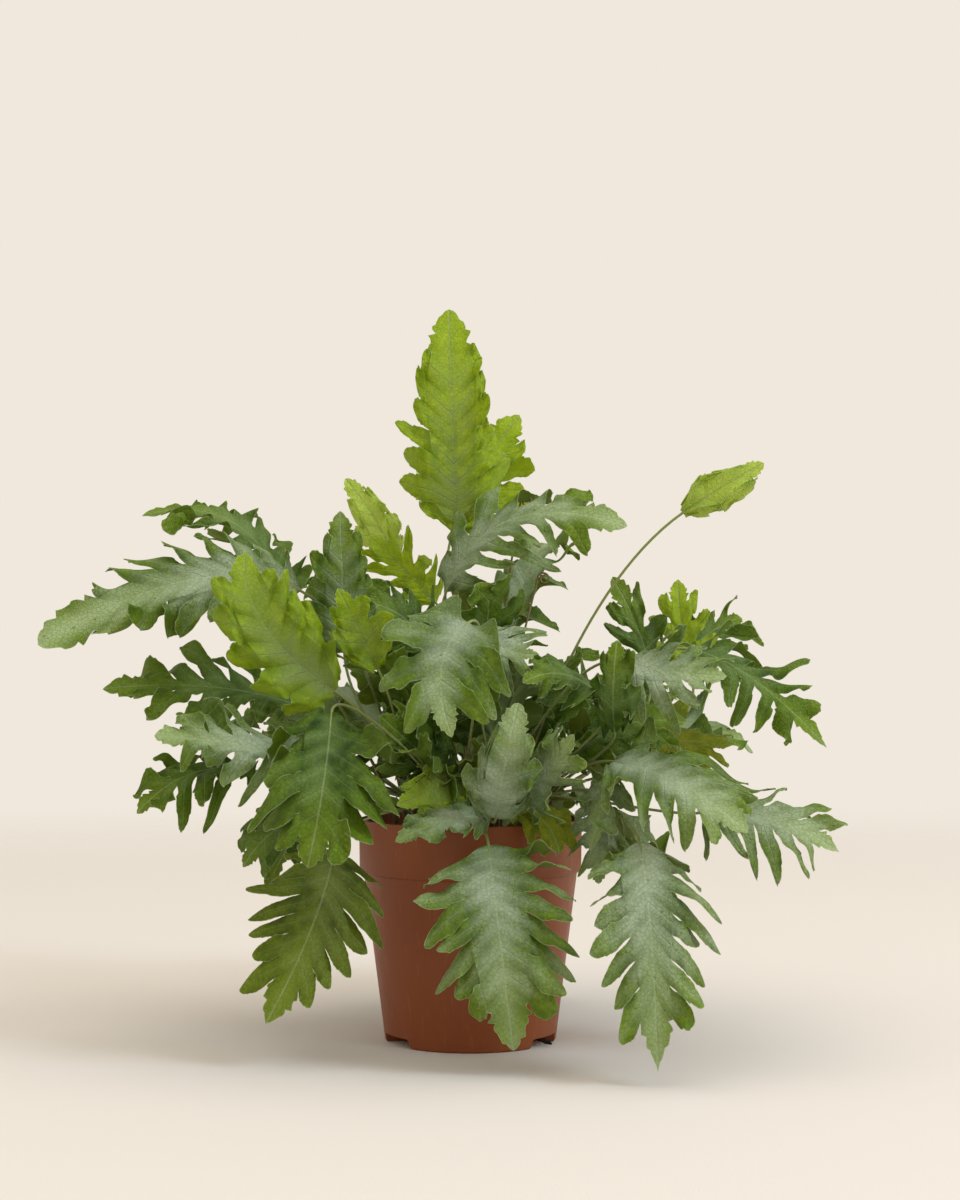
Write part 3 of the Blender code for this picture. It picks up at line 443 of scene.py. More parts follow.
def make_mesh(name, points, triangles, materials, kinds=None, colours=None, crease=60.0):
    """A smooth-shaded mesh object of triangles, with point colours for its material to read."""
    mesh = bpy.data.meshes.new(name)
    mesh.vertices.add(len(points))
    mesh.vertices.foreach_set("co", (points * MM).astype(np.float32).ravel())
    mesh.loops.add(3 * len(triangles))
    mesh.loops.foreach_set("vertex_index", triangles.astype(np.int32).ravel())
    mesh.polygons.add(len(triangles))
    mesh.polygons.foreach_set("loop_start", np.arange(0, 3 * len(triangles), 3, dtype=np.int32))
    for material in materials:
        mesh.materials.append(material)
    if kinds is not None:
        mesh.polygons.foreach_set("material_index", kinds.astype(np.int32))
    mesh.update(calc_edges=True)
    for title, values in (colours or {}).items():
        layer = mesh.attributes.new(title, "FLOAT_COLOR", "POINT")
        layer.data.foreach_set("color", values.astype(np.float32).ravel())
    mesh.shade_smooth()
    mesh.set_sharp_from_angle(angle=math.radians(crease))
    piece = bpy.data.objects.new(name, mesh)
    bpy.context.scene.collection.objects.link(piece)
    return piece


def settle_piece(piece, slot, *nodes):
    """The piece rides on the part's one body and stands for these nodes. The slot is not used."""
    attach(piece, "root")
    if nodes:
        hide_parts(*nodes)
    return piece


# Colours and shaders

def srgb(red, green, blue):
    """A colour of the screen, 0 to 255, as the light that it stands for."""
    shares = (np.array([red, green, blue]) / 255.0 + 0.055) / 1.055
    return (*(shares**2.4), 1.0)


class Finish:
    """A material's node tree, with a short call for each kind of node that is used here."""

    def __init__(self, name):
        self.material = bpy.data.materials.new(name)
        self.material.use_nodes = True
        self.tree = self.material.node_tree
        self.tree.nodes.clear()
        self.output = self.tree.nodes.new("ShaderNodeOutputMaterial")
        self.place = self.add("ShaderNodeTexCoord").outputs["Object"]

    def add(self, kind, inputs=None, **settings):
        node = self.tree.nodes.new(kind)
        for name, value in settings.items():
            setattr(node, name, value)
        for name, value in (inputs or {}).items():
            socket = node.inputs[name]
            if isinstance(value, bpy.types.NodeSocket):
                self.tree.links.new(value, socket)
            else:
                socket.default_value = value
        return node

    def noise(self, scale, detail=2.0, place=None):
        inputs = {"Vector": place or self.place, "Scale": scale, "Detail": detail}
        return self.add("ShaderNodeTexNoise", inputs).outputs["Fac"]

    def cells(self, scale, feature="DISTANCE_TO_EDGE"):
        inputs = {"Vector": self.place, "Scale": scale}
        return self.add("ShaderNodeTexVoronoi", inputs, feature=feature).outputs["Distance"]

    def step(self, value, start, end, first=0.0, last=1.0):
        """First below start, last past end, and a smooth step between, also where end is less."""
        inputs = {"Value": value, "From Min": start, "From Max": end}
        inputs.update({"To Min": first, "To Max": last})
        return self.add("ShaderNodeMapRange", inputs, interpolation_type="SMOOTHSTEP").outputs[0]

    def math(self, operation, first, second, clamp=False):
        node = self.add("ShaderNodeMath", {0: first, 1: second}, operation=operation)
        node.use_clamp = clamp
        return node.outputs[0]

    def times(self, first, second):
        return self.math("MULTIPLY", first, second)

    def total(self, first, *others):
        for other in others:
            first = self.math("ADD", first, other)
        return first

    def mix(self, share, first, second):
        inputs = {0: share, 6: first, 7: second}
        return self.add("ShaderNodeMix", inputs, data_type="RGBA").outputs[2]

    def layered(self, colour, *layers):
        """The colour under one layer after another, each a share and a colour of its own."""
        for share, over in layers:
            colour = self.mix(share, colour, over)
        return colour

    def values(self, title):
        """The four numbers of a point colour."""
        node = self.add("ShaderNodeAttribute", attribute_name=title)
        split = self.add("ShaderNodeSeparateColor", {"Color": node.outputs["Color"]})
        return (*(split.outputs[k] for k in range(3)), node.outputs["Alpha"])

    def bump(self, height, distance):
        inputs = {"Height": height, "Distance": distance, "Strength": 1.0}
        return self.add("ShaderNodeBump", inputs).outputs["Normal"]

    def surface(self, colour, roughness, normal, specular):
        inputs = {"Base Color": colour, "Roughness": roughness, "Normal": normal}
        inputs["Specular IOR Level"] = specular
        return self.add("ShaderNodeBsdfPrincipled", inputs).outputs["BSDF"]

    def thin_leaf(self, skin, light, normal, share):
        """Skin that lets a share of the light through, in this colour."""
        inputs = {"Color": light, "Normal": normal}
        lit = self.add("ShaderNodeBsdfTranslucent", inputs).outputs[0]
        return self.add("ShaderNodeMixShader", {0: share, 1: skin, 2: lit}).outputs[0]

    def end(self, shader):
        self.tree.links.new(shader, self.output.inputs["Surface"])
        return self.material


BACKGROUND = srgb(240, 232, 220)
CEILING = srgb(196, 186, 170)
PAPER = srgb(220, 215, 211)
WHITE = (0.9, 0.9, 0.9, 1.0)
LIME = srgb(166, 196, 34)
# Pale wash of the palest fronds: partly their own paler colour, partly painted light shining through
# them from behind.
PALE_LIME_AND_PAINTED_GLOW = srgb(204, 224, 116)
PALE_LINE = srgb(186, 202, 152)

# Deep and light flesh, wax, underside, light that comes through, share of wax far from the rib,
# more wax near it, how far that reaches, lime in the tips, painted shade in the folds between the
# lobes' veins, share of light that shines through.
Tone = namedtuple("Tone", "deep light wax below through wax_far wax_near wax_reach lime valley shine")
TONES = {
    "blue": Tone(
        srgb(46, 78, 6), srgb(94, 120, 22), srgb(168, 184, 156), srgb(106, 128, 28),
        srgb(130, 158, 0), 0.20, 0.60, 19.0, 0.30, 0.16, 0.24,
    ),
    "green": Tone(
        srgb(34, 62, 0), srgb(74, 106, 2), srgb(122, 148, 88), srgb(92, 120, 10),
        srgb(124, 158, 0), 0.06, 0.34, 19.0, 0.35, 0.16, 0.28,
    ),
    "olive": Tone(
        srgb(52, 70, 2), srgb(92, 110, 8), srgb(130, 144, 74), srgb(102, 116, 16),
        srgb(130, 148, 4), 0.04, 0.34, 19.0, 0.30, 0.16, 0.28,
    ),
    "lime": Tone(
        srgb(106, 136, 10), srgb(172, 196, 30), srgb(136, 156, 94), srgb(158, 184, 26),
        srgb(208, 228, 36), 0.0, 0.70, 24.0, 0.56, 0.42, 0.46,
    ),
    "yellow": Tone(
        srgb(92, 108, 6), srgb(138, 146, 16), srgb(128, 142, 52), srgb(130, 140, 16),
        srgb(176, 188, 8), 0.0, 0.20, 19.0, 0.25, 0.16, 0.40,
    ),
}
NET_SCALE = 430.0
NET_LINE = 0.12

# name, colour at the foot, colour from two thirds of the way up
STIPES = (
    ("stipe_green", srgb(96, 74, 42), srgb(128, 142, 84)),
    ("stipe_lime", srgb(112, 94, 50), srgb(124, 136, 66)),
    ("stipe_young", srgb(118, 124, 66), srgb(120, 98, 62)),
)


def leaf_finish(name):
    """A blade: green flesh under a whitish wax that is thickest along the rib and rubbed off in
    flecks, with a net of fine veins, a vein in every lobe, a pale rib, a pale margin and painted
    shade in the folds between the lobes."""
    tone = TONES[name]
    finish = Finish("leaf_" + name)
    edge, rib, vein, along = finish.values("blade")
    shade, _, _, _ = finish.values("leaf")
    broad = finish.noise(38.0, 2.0)
    patch = finish.noise(170.0, 4.0)
    fleck = finish.noise(1300.0, 3.0)
    net = finish.step(finish.cells(NET_SCALE), 0.0, NET_LINE, 1.0, 0.0)
    mottle = finish.noise(520.0, 4.0)

    flesh = finish.layered(
        tone.deep,
        (finish.step(patch, 0.30, 0.70), tone.light),
        (finish.step(broad, 0.40, 0.62, 0.0, 0.5), tone.light),
    )
    cover = finish.total(
        finish.step(rib, 0.0, tone.wax_reach, tone.wax_near, 0.0),
        finish.step(broad, 0.36, 0.66, tone.wax_far - 0.2, tone.wax_far + 0.25),
        finish.step(vein, 0.0, 4.5, 0.14, -0.08),
        finish.step(along, 0.35, 0.95, 0.0, -0.22),
        shade,
    )
    rubbed = finish.step(finish.total(fleck, finish.times(patch, 0.7)), 0.93, 1.03)
    rubbed = finish.times(rubbed, finish.step(rib, 3.0, 16.0, 0.15, 0.5))
    waxed = finish.math("SUBTRACT", cover, rubbed, clamp=True)
    tips = finish.step(along, 0.4, 1.0, 0.0, tone.lime)
    young = finish.math("ADD", tips, finish.step(rib, 8.0, 26.0, 0.0, 0.5 * tone.lime), clamp=True)
    speckled = finish.times(finish.step(mottle, 0.38, 0.62), finish.step(rib, 2.0, 16.0, 0.06, 0.26))
    # Painted shade: darker flesh in the folds between the lobes' veins, away from the rib, where the
    # folds would be in shade.
    valley = finish.times(finish.step(vein, 3.0, 7.0, 0.0, tone.valley), finish.step(rib, 3.0, 10.0))
    spots = finish.step(finish.cells(170.0, "F1"), 0.08, 0.16, 0.6, 0.0)
    colour = finish.layered(
        flesh,
        (waxed, tone.wax),
        (young, LIME),
        (finish.times(net, 0.18), tone.deep),
        (speckled, tone.deep),
        (valley, tone.deep),
        # Where a frond's wax number is far below nothing: a pale wash, partly the frond's own paler
        # colour and partly painted light shining through it.
        (finish.step(shade, -0.6, -0.8, 0.0, 0.6), PALE_LIME_AND_PAINTED_GLOW),
        (finish.times(spots, finish.step(patch, 0.5, 0.62)), tone.deep),
        (finish.step(vein, 0.05, 0.45, 0.12, 0.0), PALE_LINE),
        (finish.step(rib, 0.25, 0.65, 0.26, 0.0), PALE_LINE),
        (finish.step(edge, 0.05, 0.45, 0.50, 0.0), PALE_LINE),
    )

    height = finish.total(
        finish.times(net, 0.5),
        finish.times(patch, 1.6),
        finish.step(vein, 0.0, 0.8, -0.8, 0.0),
        finish.times(mottle, 0.9),
        finish.times(fleck, 0.25),
    )
    normal = finish.bump(height, 0.00035)
    skin = finish.surface(colour, 0.62, normal, 0.35)
    glow = finish.mix(0.5, colour, tone.through)
    return finish.end(finish.thin_leaf(skin, glow, normal, tone.shine))


def leaf_back_finish(name):
    """The underside: paler, matt, with the net of veins darker, and open to light from inside."""
    tone = TONES[name]
    finish = Finish("leaf_back_" + name)
    _, rib, vein, along = finish.values("blade")
    colour = finish.layered(
        tone.below,
        (finish.step(finish.cells(NET_SCALE), 0.0, NET_LINE, 0.35, 0.0), tone.deep),
        (finish.step(along, 0.45, 1.0, 0.0, 0.6 * tone.lime), LIME),
        (finish.step(vein, 0.1, 0.6, 0.25, 0.0), PALE_LINE),
        (finish.step(rib, 0.4, 1.0, 0.4, 0.0), PALE_LINE),
    )
    normal = finish.bump(finish.noise(150.0, 3.0), 0.0004)
    skin = finish.surface(colour, 0.7, normal, 0.25)
    return finish.end(finish.thin_leaf(skin, WHITE, normal, 0.6))


def stipe_finish(name, low, high):
    """A stipe: one colour at its foot and another further up, with a faint grain."""
    finish = Finish(name)
    _, _, _, along = finish.values("blade")
    grain = finish.noise(600.0, 3.0)
    share = finish.total(finish.step(along, 0.0, 0.7), finish.step(grain, 0.4, 0.6, -0.15, 0.15))
    colour = finish.mix(finish.math("MINIMUM", share, 1.0, clamp=True), low, high)
    normal = finish.bump(grain, 0.0002)
    return finish.end(finish.surface(colour, 0.45, normal, 0.45))


def pot_finish():
    """Moulded terracotta-brown plastic: satin, with a faint grain, dust and fine upright rubs."""
    finish = Finish("pot_plastic")
    broad = finish.noise(18.0, 3.0)
    grain = finish.noise(2600.0, 2.0)
    stretch = finish.add("ShaderNodeMapping", {"Vector": finish.place, "Scale": (1.0, 1.0, 0.12)})
    rubs = finish.noise(420.0, 3.0, stretch.outputs["Vector"])
    colour = finish.layered(
        srgb(124, 64, 31),
        (broad, srgb(138, 74, 37)),
        (finish.step(rubs, 0.56, 0.74, 0.0, 0.3), srgb(158, 94, 54)),
    )
    height = finish.total(finish.times(grain, 0.6), finish.times(rubs, 0.5))
    normal = finish.bump(height, 0.00012)
    rough = finish.step(rubs, 0.3, 0.7, 0.40, 0.52)
    return finish.end(finish.surface(colour, rough, normal, 0.28))


def soil_finish():
    """Dark peat with paler fibres and specks."""
    finish = Finish("potting_soil")
    clod = finish.noise(240.0, 5.0)
    speck = finish.cells(520.0, "F1")
    colour = finish.layered(
        srgb(30, 22, 16),
        (finish.step(clod, 0.35, 0.65), srgb(74, 54, 38)),
        (finish.step(speck, 0.05, 0.16, 0.5, 0.0), srgb(120, 92, 62)),
    )
    height = finish.total(clod, finish.times(finish.noise(1500.0, 3.0), 0.4))
    return finish.end(finish.surface(colour, 0.95, finish.bump(height, 0.0012), 0.2))


def rhizome_finish():
    """Golden-brown scales, darker between."""
    finish = Finish("rhizome_scales")
    strand = finish.noise(700.0, 4.0)
    broad = finish.noise(90.0, 2.0)
    colour = finish.layered(
        srgb(92, 58, 26),
        (finish.step(strand, 0.36, 0.64), srgb(176, 126, 66)),
        (finish.step(broad, 0.45, 0.65, 0.0, 0.5), srgb(70, 46, 26)),
    )
    return finish.end(finish.surface(colour, 0.85, finish.bump(strand, 0.0006), 0.25))


# The form of a frond

def rib_frames(frond, u):
    """Points, ways along, sides and ups of the rib at shares u. It is a parabola: the base times
    the square of one less u, the bend times twice u times that, and the tip times u squared."""
    u = np.asarray(u, float)[..., None]
    bend = 2 * frond.middle - (frond.base + frond.tip) / 2
    point = (1 - u) ** 2 * frond.base + 2 * u * (1 - u) * bend + u * u * frond.tip
    along = units((1 - u) * (bend - frond.base) + u * (frond.tip - bend))
    up = units(frond.facing - (along @ frond.facing)[..., None] * along)
    return point, along, np.cross(along, up), up


def outline_share(u):
    """Share of the half width that the lobes reach at u: widest a quarter of the way up."""
    below = np.maximum(0.0, WIDEST_AT - u) / WIDEST_AT
    above = np.maximum(0.0, u - WIDEST_AT) / (LOBED_SHARE - WIDEST_AT)
    return 1 - 0.2 * below**2 - 0.55 * above**1.5


def wing_of(frond, u):
    """The wing's width at u, which takes a larger share of the half width near the tip."""
    share = frond.wing + frond.merge * rising(0.3, 0.8, u)
    return frond.half * share * outline_share(u)


def rise_of(frond, reach, lift):
    """Height over the rib's plane at this reach: a shallow trough that bends over to the lobes."""
    return TROUGH * reach + (lift - DROOP) * reach * reach / frond.half


def swept(u):
    """Share along the rib that the veins which reach the margin at u start from: a little lower,
    by a parabola that is nothing at both ends."""
    return u - 4 * VEIN_SWEEP * u * (1 - u)


def lobe_draws(frond):
    """Length, lift, twist and turn of every lobe, one array of two sides by lobes each, in the
    order of draws that the solids have."""
    draw = random.Random(frond.name)
    spans = ((0.82, 1.12), (-0.45, 0.25), (-0.3, 0.3), (-2.5, 2.5))
    rows = [[draw.uniform(*span) for span in spans] for _ in range(2 * frond.lobes)]
    return np.array(rows).reshape(2, frond.lobes, 4).transpose(2, 0, 1)


def sawtooth(values, counts, starts):
    """Runs from -0.6 up to 0.4 and drops back, so many times between 0 and 1."""
    turns = values * counts + starts
    return turns - np.floor(turns) - 0.6


def wave(frond, points, reach_share):
    """A gentle swell of the whole blade: two crossed sine waves of the place in its own plane,
    growing from nothing at the rib to its margin."""
    _, along, across, up = rib_frames(frond, 0.5)
    flat = points - frond.middle
    x, y = flat @ along, flat @ across
    first, second, third, fourth = frond.phases
    swell = np.sin(x / 8.5 + first) * np.cos(y / 9.5 + second)
    swell = swell + 0.6 * np.sin(x / 4.4 + third) * np.cos(y / 5.3 + fourth)
    return points + (frond.swell * reach_share * swell)[..., None] * up


def lobe_feet(frond):
    """Where every lobe stands on the wing's edge, between the sinus below it and the one above,
    and the ways that it grows in. Each number and vector of a lobe has two more axes, for the rows
    and columns of its strip of the blade, after one for the sides and one for the lobes."""
    count = frond.lobes
    length_draw, lift, twist, turn = lobe_draws(frond)
    side = np.array([1.0, -1.0])[:, None]
    rows = LOBED_SHARE * np.arange(count + 1) / count
    middle = LOBED_SHARE * (np.arange(count) + 0.5) / count
    point, _, across, up = rib_frames(frond, rows)
    wing = np.where(rows == 0, STIPE_RADIUS, wing_of(frond, rows))
    sinus = point + side[..., None] * wing[:, None] * across
    sinus = sinus + rise_of(frond, wing, 0.0)[:, None] * up
    low, high = sinus[:, :-1], sinus[:, 1:]
    half_foot = (high - low) / 2
    lean = np.radians(LEAN_AT_FOOT + MORE_LEAN_AT_TIP * middle + turn)
    _, along, across, up = rib_frames(frond, middle)
    outward = (np.cos(lean) * side)[..., None] * across + np.sin(lean)[..., None] * along
    wing = wing_of(frond, middle)
    reach = frond.half * outline_share(middle) * length_draw
    numbers = {
        "middle": middle, "wing": wing, "reach": reach, "lean": lean, "lift": lift, "twist": twist,
        "length": (reach - wing) / np.cos(lean), "span": np.linalg.norm(half_foot, axis=-1),
    }
    vectors = {
        "low": low, "high": high, "half_foot": half_foot, "root": (low + high) / 2,
        "outward": outward, "along": along, "up": up,
    }
    feet = {name: value[..., None, None] for name, value in numbers.items()}
    feet.update({name: value[..., None, None, :] for name, value in vectors.items()})
    return SimpleNamespace(rows=rows, **feet)


def wing_grids(frond, feet, pleat):
    """The strips from the rib to the wing's edge: straight from where a vein starts on the rib to
    where it ends on the line between two sinuses, and arched over that by the pleat."""
    t = (ACROSS + 1) / 2
    u = (1 - t) * feet.rows[:-1, None] + t * feet.rows[1:, None]
    rib = rib_frames(frond, swept(u))[0][:, None]
    margin = (1 - t)[:, None] * feet.low + t[:, None] * feet.high
    points = rib + (margin - rib) * WING_ROWS[..., None]
    arch = pleat * WING_ROWS * (1 - ACROSS**2)
    points = points + arch[..., None] * feet.up
    sizes = np.broadcast_arrays(
        np.hypot((1 - np.abs(ACROSS)) * feet.span, (1 - WING_ROWS) * feet.wing),
        WING_ROWS * feet.wing, np.abs(ACROSS) * feet.span, u[:, None],
    )
    return points, np.stack(sizes, axis=-1)


def lobe_width(frond, feet, drawn):
    """Shares of their foot line that the lobes are wide at l of their length: drawn in just past
    the sinus, then full, and closing at the end as one less l to a power, to the power of
    LOBE_CLOSING. Coarse teeth, which differ on the two margins, and fine ones cut it."""
    deep, teeth, broad, _ = LOBE_STYLE[frond.tone]
    l = LOBE_ROWS
    blunt = frond.blunt * drawn("blunt")
    waist = 1 - frond.waist * np.sin(np.pi * np.minimum(l / WAIST_ENDS_AT, 1.0))
    width = waist * (1 - l**blunt) ** LOBE_CLOSING
    slant = 0.5 / np.cos(feet.lean) + 0.5
    more = frond.broad * broad * slant * drawn("breadth") - 1
    width = width * (1 + more * rising(0.0, 0.42, l))
    cut = deep * drawn("tooth depth") * rising(0.25, 0.5, l)
    counts = teeth + drawn("teeth")
    lower = sawtooth(l, counts, drawn("start"))
    upper = sawtooth(l, counts, drawn("start"))
    width = width * (1 + cut * np.where(ACROSS < 0, lower, upper))
    fine = FINE_TOOTH_DEPTH * sawtooth(l, drawn("fine teeth"), drawn("start"))
    return width * (1 + fine * rising(0.1, 0.3, l))


def lobe_grids(frond, feet, pleat, drawn):
    """The strips from the wing's edge to the lobes' ends: a lobe's root, plus its length times its
    outward way, plus its width times half its foot line, plus a height. Towards its end it turns
    about its axis, folds along its vein, waves at its margins, curls and bends like a sickle."""
    ruffle = LOBE_STYLE[frond.tone][3]
    l, w = LOBE_ROWS, ACROSS
    width = lobe_width(frond, feet, drawn)
    roll = MORE_TWIST * feet.twist + frond.wild * drawn("roll") + frond.louver
    roll = roll * rising(0.0, 0.55, l)
    place = feet.length * l
    out = feet.wing + (feet.reach - feet.wing) * l
    spread = w * width * feet.span
    height = rise_of(frond, out, MORE_LIFT * feet.lift) - rise_of(frond, feet.wing, 0.0)
    fold = frond.wild * drawn("fold") * rising(0.0, 0.5, l)
    height = height + fold * np.abs(spread)
    height = height + pleat * (1 - w**2) * (1 - 0.5 * l)
    turns = l * drawn("waves") + drawn("start")
    waves = np.sin(2 * np.pi * turns + 1.6 * np.sign(w))
    height = height + ruffle * feet.span * np.abs(w) ** 1.6 * waves * rising(0.0, 0.35, l)
    curl = frond.wild * drawn("curl") * feet.length
    height = height + curl * rising(0.35, 1.0, l)
    height = height + spread * np.sin(roll)
    sickle = frond.wild * drawn("sickle") * feet.length * l * l
    points = feet.root + place[..., None] * feet.outward
    points = points + (w * width * np.cos(roll))[..., None] * feet.half_foot
    points = points + height[..., None] * feet.up
    points = points + sickle[..., None] * feet.along
    sizes = np.broadcast_arrays(
        np.minimum((1 - np.abs(w)) * width * feet.span, (1 - l) * feet.length),
        feet.wing + place, np.abs(spread), feet.middle,
    )
    return points, np.stack(sizes, axis=-1)


def blade_strips(frond):
    """One strip of the blade for each lobe, from the rib to the lobe's end, and four numbers at
    each point: how far it is from the margin, from the rib and from the lobe's vein, and its share
    of the way up. Across a strip, -1 is its lower margin and 1 its upper one."""
    draw = np.random.RandomState(frond.seed)

    def drawn(name):
        return draw.uniform(*LOBE_SPREAD[name], (2, frond.lobes, 1, 1))

    feet = lobe_feet(frond)
    pleat = feet.span * frond.pleat * drawn("pleat")
    inner, inner_values = wing_grids(frond, feet, pleat)
    outer, outer_values = lobe_grids(frond, feet, pleat, drawn)
    points = np.concatenate([inner, outer], axis=2)
    values = np.concatenate([inner_values, outer_values], axis=2)
    share_out = np.clip(values[..., 1] / frond.half, 0.0, 1.0)
    return wave(frond, points, share_out), values


def blade_end(frond):
    """The lobe at the frond's tip: its half width falls evenly from the wing's to nothing, with a
    swell over that, x to the power 0.8 times one less x to the power of slim, cut by teeth."""
    draw = np.random.RandomState(frond.seed + 1)
    u = np.linspace(LOBED_SHARE, 1.0, END_ROWS)
    x = (u - u[0]) / (1 - u[0])
    wing = wing_of(frond, u[0])
    end_length = (1 - LOBED_SHARE) * np.linalg.norm(frond.tip - frond.base)
    shoulder = min(0.3 * frond.half * (0.7 + frond.wing + frond.merge), 0.4 * end_length)
    swell = max(0.4 * wing, 1.1 * shoulder - 0.6 * wing) / SWELL_PEAK
    width = wing * (1 - x) + swell * x**0.8 * (1 - x) ** frond.slim
    teeth = np.stack([sawtooth(x, 3.8 + draw.uniform(0, 1), draw.uniform(0, 1)) for _ in range(2)])
    uneven = 0.6 + 0.4 * np.sin(11.0 * x + draw.uniform(0.0, 6.28, (2, 1)))
    width = width * (1 + 0.5 * teeth * uneven * rising(0.0, 0.15, x))
    width[:, 0] = wing
    width[:, -1] = 0.0
    point, _, across, up = rib_frames(frond, u)
    side = np.array([1.0, -1.0])[:, None, None]
    margin = point + side * width[..., None] * across
    margin = margin + rise_of(frond, width, 0.0)[..., None] * up
    flutter = 0.12 * width * np.sin(9.0 * x + draw.uniform(0, 6)) * rising(0.0, 0.2, x)
    margin = margin + flutter[..., None] * up
    rib = rib_frames(frond, swept(u))[0][None, :, None]
    points = rib + (margin[:, :, None] - rib) * WING_ROWS
    reach = width[..., None] * WING_ROWS[:, 0]
    sizes = np.broadcast_arrays(width[..., None] - reach, reach, reach, u[:, None])
    values = np.stack(sizes, axis=-1)
    return wave(frond, points, np.clip(reach / frond.half, 0.0, 1.0)), values


def blade_sheet(frond):
    """Every strip and the end lobe, welded along the rib and from strip to strip."""
    strips, strip_values = blade_strips(frond)
    ends, end_values = blade_end(frond)
    points, values, triangles, start = [], [], [], 0
    for side in range(2):
        grids = [(strips[side, k], strip_values[side, k], side == 0) for k in range(frond.lobes)]
        grids.append((ends[side], end_values[side], side == 1))
        for grid, numbers, turned in grids:
            index = start + np.arange(grid[..., 0].size).reshape(grid.shape[:2])
            faces = grid_triangles(index)
            triangles.append(faces[:, ::-1] if turned else faces)
            points.append(grid.reshape(-1, 3))
            values.append(numbers.reshape(-1, 4))
            start += index.size
    return weld(np.concatenate(points), np.concatenate(triangles), np.concatenate(values))


def stipe_line(frond):
    """The middle line of the stipe: straight out of its socket, and then the smooth cubic bow that
    leaves upright and arrives along the rib."""
    sunk = frond.foot + (SEAT_GAP - SOCKET_DEPTH) * UPRIGHT
    start = frond.foot + STIPE_UPRIGHT * UPRIGHT
    end, along, _, _ = rib_frames(frond, 0.0)
    span = np.linalg.norm(end - start)
    outward = (end - start) * FLAT
    leave = units(UPRIGHT + frond.lean * outward / span) * span * frond.rise
    arrive = along * span * frond.rise
    v = np.linspace(0.0, 1.0, STIPE_STEPS)[:, None]
    bow = (2 * v**3 - 3 * v**2 + 1) * start + (v**3 - 2 * v**2 + v) * leave
    bow = bow + (3 * v**2 - 2 * v**3) * end + (v**3 - v**2) * arrive
    return np.concatenate([sunk[None], bow])


def frond_piece(frond, finishes):
    """A frond: the blade's thin closed shell and, running into it, the stipe that goes on as the
    rib and thins out at the tip."""
    sheet, faces, values = blade_sheet(frond)
    half = SHEET_HALF_THICK * (0.55 + 0.45 * rising(0.0, 1.5, values[:, 0]))
    points, triangles = shell_of(sheet, faces, half)
    values = np.concatenate([values, values])

    line = stipe_line(frond)
    u = np.linspace(0.0, RIB_ENDS_AT, RIB_STEPS)[1:]
    ribs, _, across, up = rib_frames(frond, u)
    thin = RIB_RADIUS - RIB_TAPER * u
    below = thin * rising(0.0, 0.12, u) - 0.1
    path = np.concatenate([line, ribs - below[:, None] * up])
    stipe_share = np.linspace(0.0, 1.0, len(line))
    thick = STIPE_FOOT_RADIUS - STIPE_TAPER * rising(0.0, 0.5, stipe_share)
    reference = units(across[0] + 0.3 * BACKWARDS)
    radii = np.concatenate([thick, thin])
    tube_points, tube_faces = tube(path, radii, reference, STIPE_SIDES)
    ends = np.concatenate([[0.0], stipe_share, 1.0 + u, [2.0]])
    tube_values = np.zeros((len(tube_points), 4))
    tube_values[:, 3] = np.repeat(ends, STIPE_SIDES)

    back = (triangles >= len(sheet)).all(axis=1)
    kinds = np.concatenate([back, np.full(len(tube_faces), 2)])
    leaf = np.zeros((2 * len(sheet) + len(tube_points), 4))
    leaf[:, 0] = frond.shade
    points, triangles = join([(points, triangles), (tube_points, tube_faces)])
    colours = {"blade": np.concatenate([values, tube_values]), "leaf": leaf}
    stipe = finishes["stipe_lime" if frond.tone == "lime" else "stipe_green"]
    materials = [finishes[frond.tone], finishes["back_" + frond.tone], stipe]
    piece = make_mesh("fern_" + frond.name, points, triangles, materials, kinds, colours)
    solid = [] if frond.inner else ["frond_" + frond.name]
    return settle_piece(piece, SLOT_OF_TONE[frond.tone], *solid)


# Where the fronds stand

def arm_azimuth(arm):
    return 360.0 / ARM_COUNT * arm + FIRST_ARM_AZIMUTH


def arm_axis(arm, radius):
    """A place on the middle line of a rhizome arm, which winds a little to both sides by a sine
    wave that grows from nothing at the pot's axis."""
    azimuth = arm_azimuth(arm)
    sway = ARM_WIGGLE * np.sin(radius / 9.0 + 2.3 * arm) * np.minimum(1.0, radius / 30.0)
    return polar(radius, azimuth, RHIZOME_TOP) + polar(sway, azimuth + 90.0, 0.0)


def sockets():
    """Every socket of the rhizome, from the inner ones to the outer ones."""
    return [
        arm_axis(arm, FIRST_SOCKET + SOCKET_PITCH * step)
        for step in range(SOCKETS_PER_ARM)
        for arm in range(ARM_COUNT)
    ]


def near_sockets(free, towards):
    """The free sockets nearest to a point part of the way out to the blade, and never too far."""
    wish = towards * FLAT
    wish = wish * min(SOCKET_SHARE, SOCKET_REACH / max(1.0, np.linalg.norm(wish)))
    free.sort(key=lambda socket: np.linalg.norm((socket - wish)[:2]))
    return free[:SOCKET_CHOICE]


def seen_frond(row):
    """A frond whose base, middle and tip were read from the photograph."""
    name, tone, base, middle, tip, half, facing, lobes = row
    return SimpleNamespace(
        name=name, tone=tone, half=half, lobes=lobes, reach=SEEN_REACH,
        base=np.array(base, float), middle=np.array(middle, float), tip=np.array(tip, float),
        facing=units(np.array(facing, float)), rise=STIPE_RISE, lean=STIPE_LEAN,
    )


def hidden_frond(row):
    """A frond that grows straight out to one side."""
    name, tone, azimuth, reach, low, mid, end, half, lobes = row
    return SimpleNamespace(
        name=name, tone=tone, half=half, lobes=lobes, reach=HIDDEN_REACH,
        base=polar(HIDDEN_BASE_AT * reach, azimuth, low),
        middle=polar(HIDDEN_MIDDLE_AT * reach, azimuth, mid),
        tip=polar(reach, azimuth, end), facing=units(polar(0.5, azimuth, 1.0)),
        rise=STIPE_RISE, lean=STIPE_LEAN,
    )


def effort_at(attempt):
    """Share of the most that a frond may be moved which an attempt could use: all of it from half
    of the tries on."""
    return np.minimum(1.0, 2.0 * attempt / MOST_TRIES)


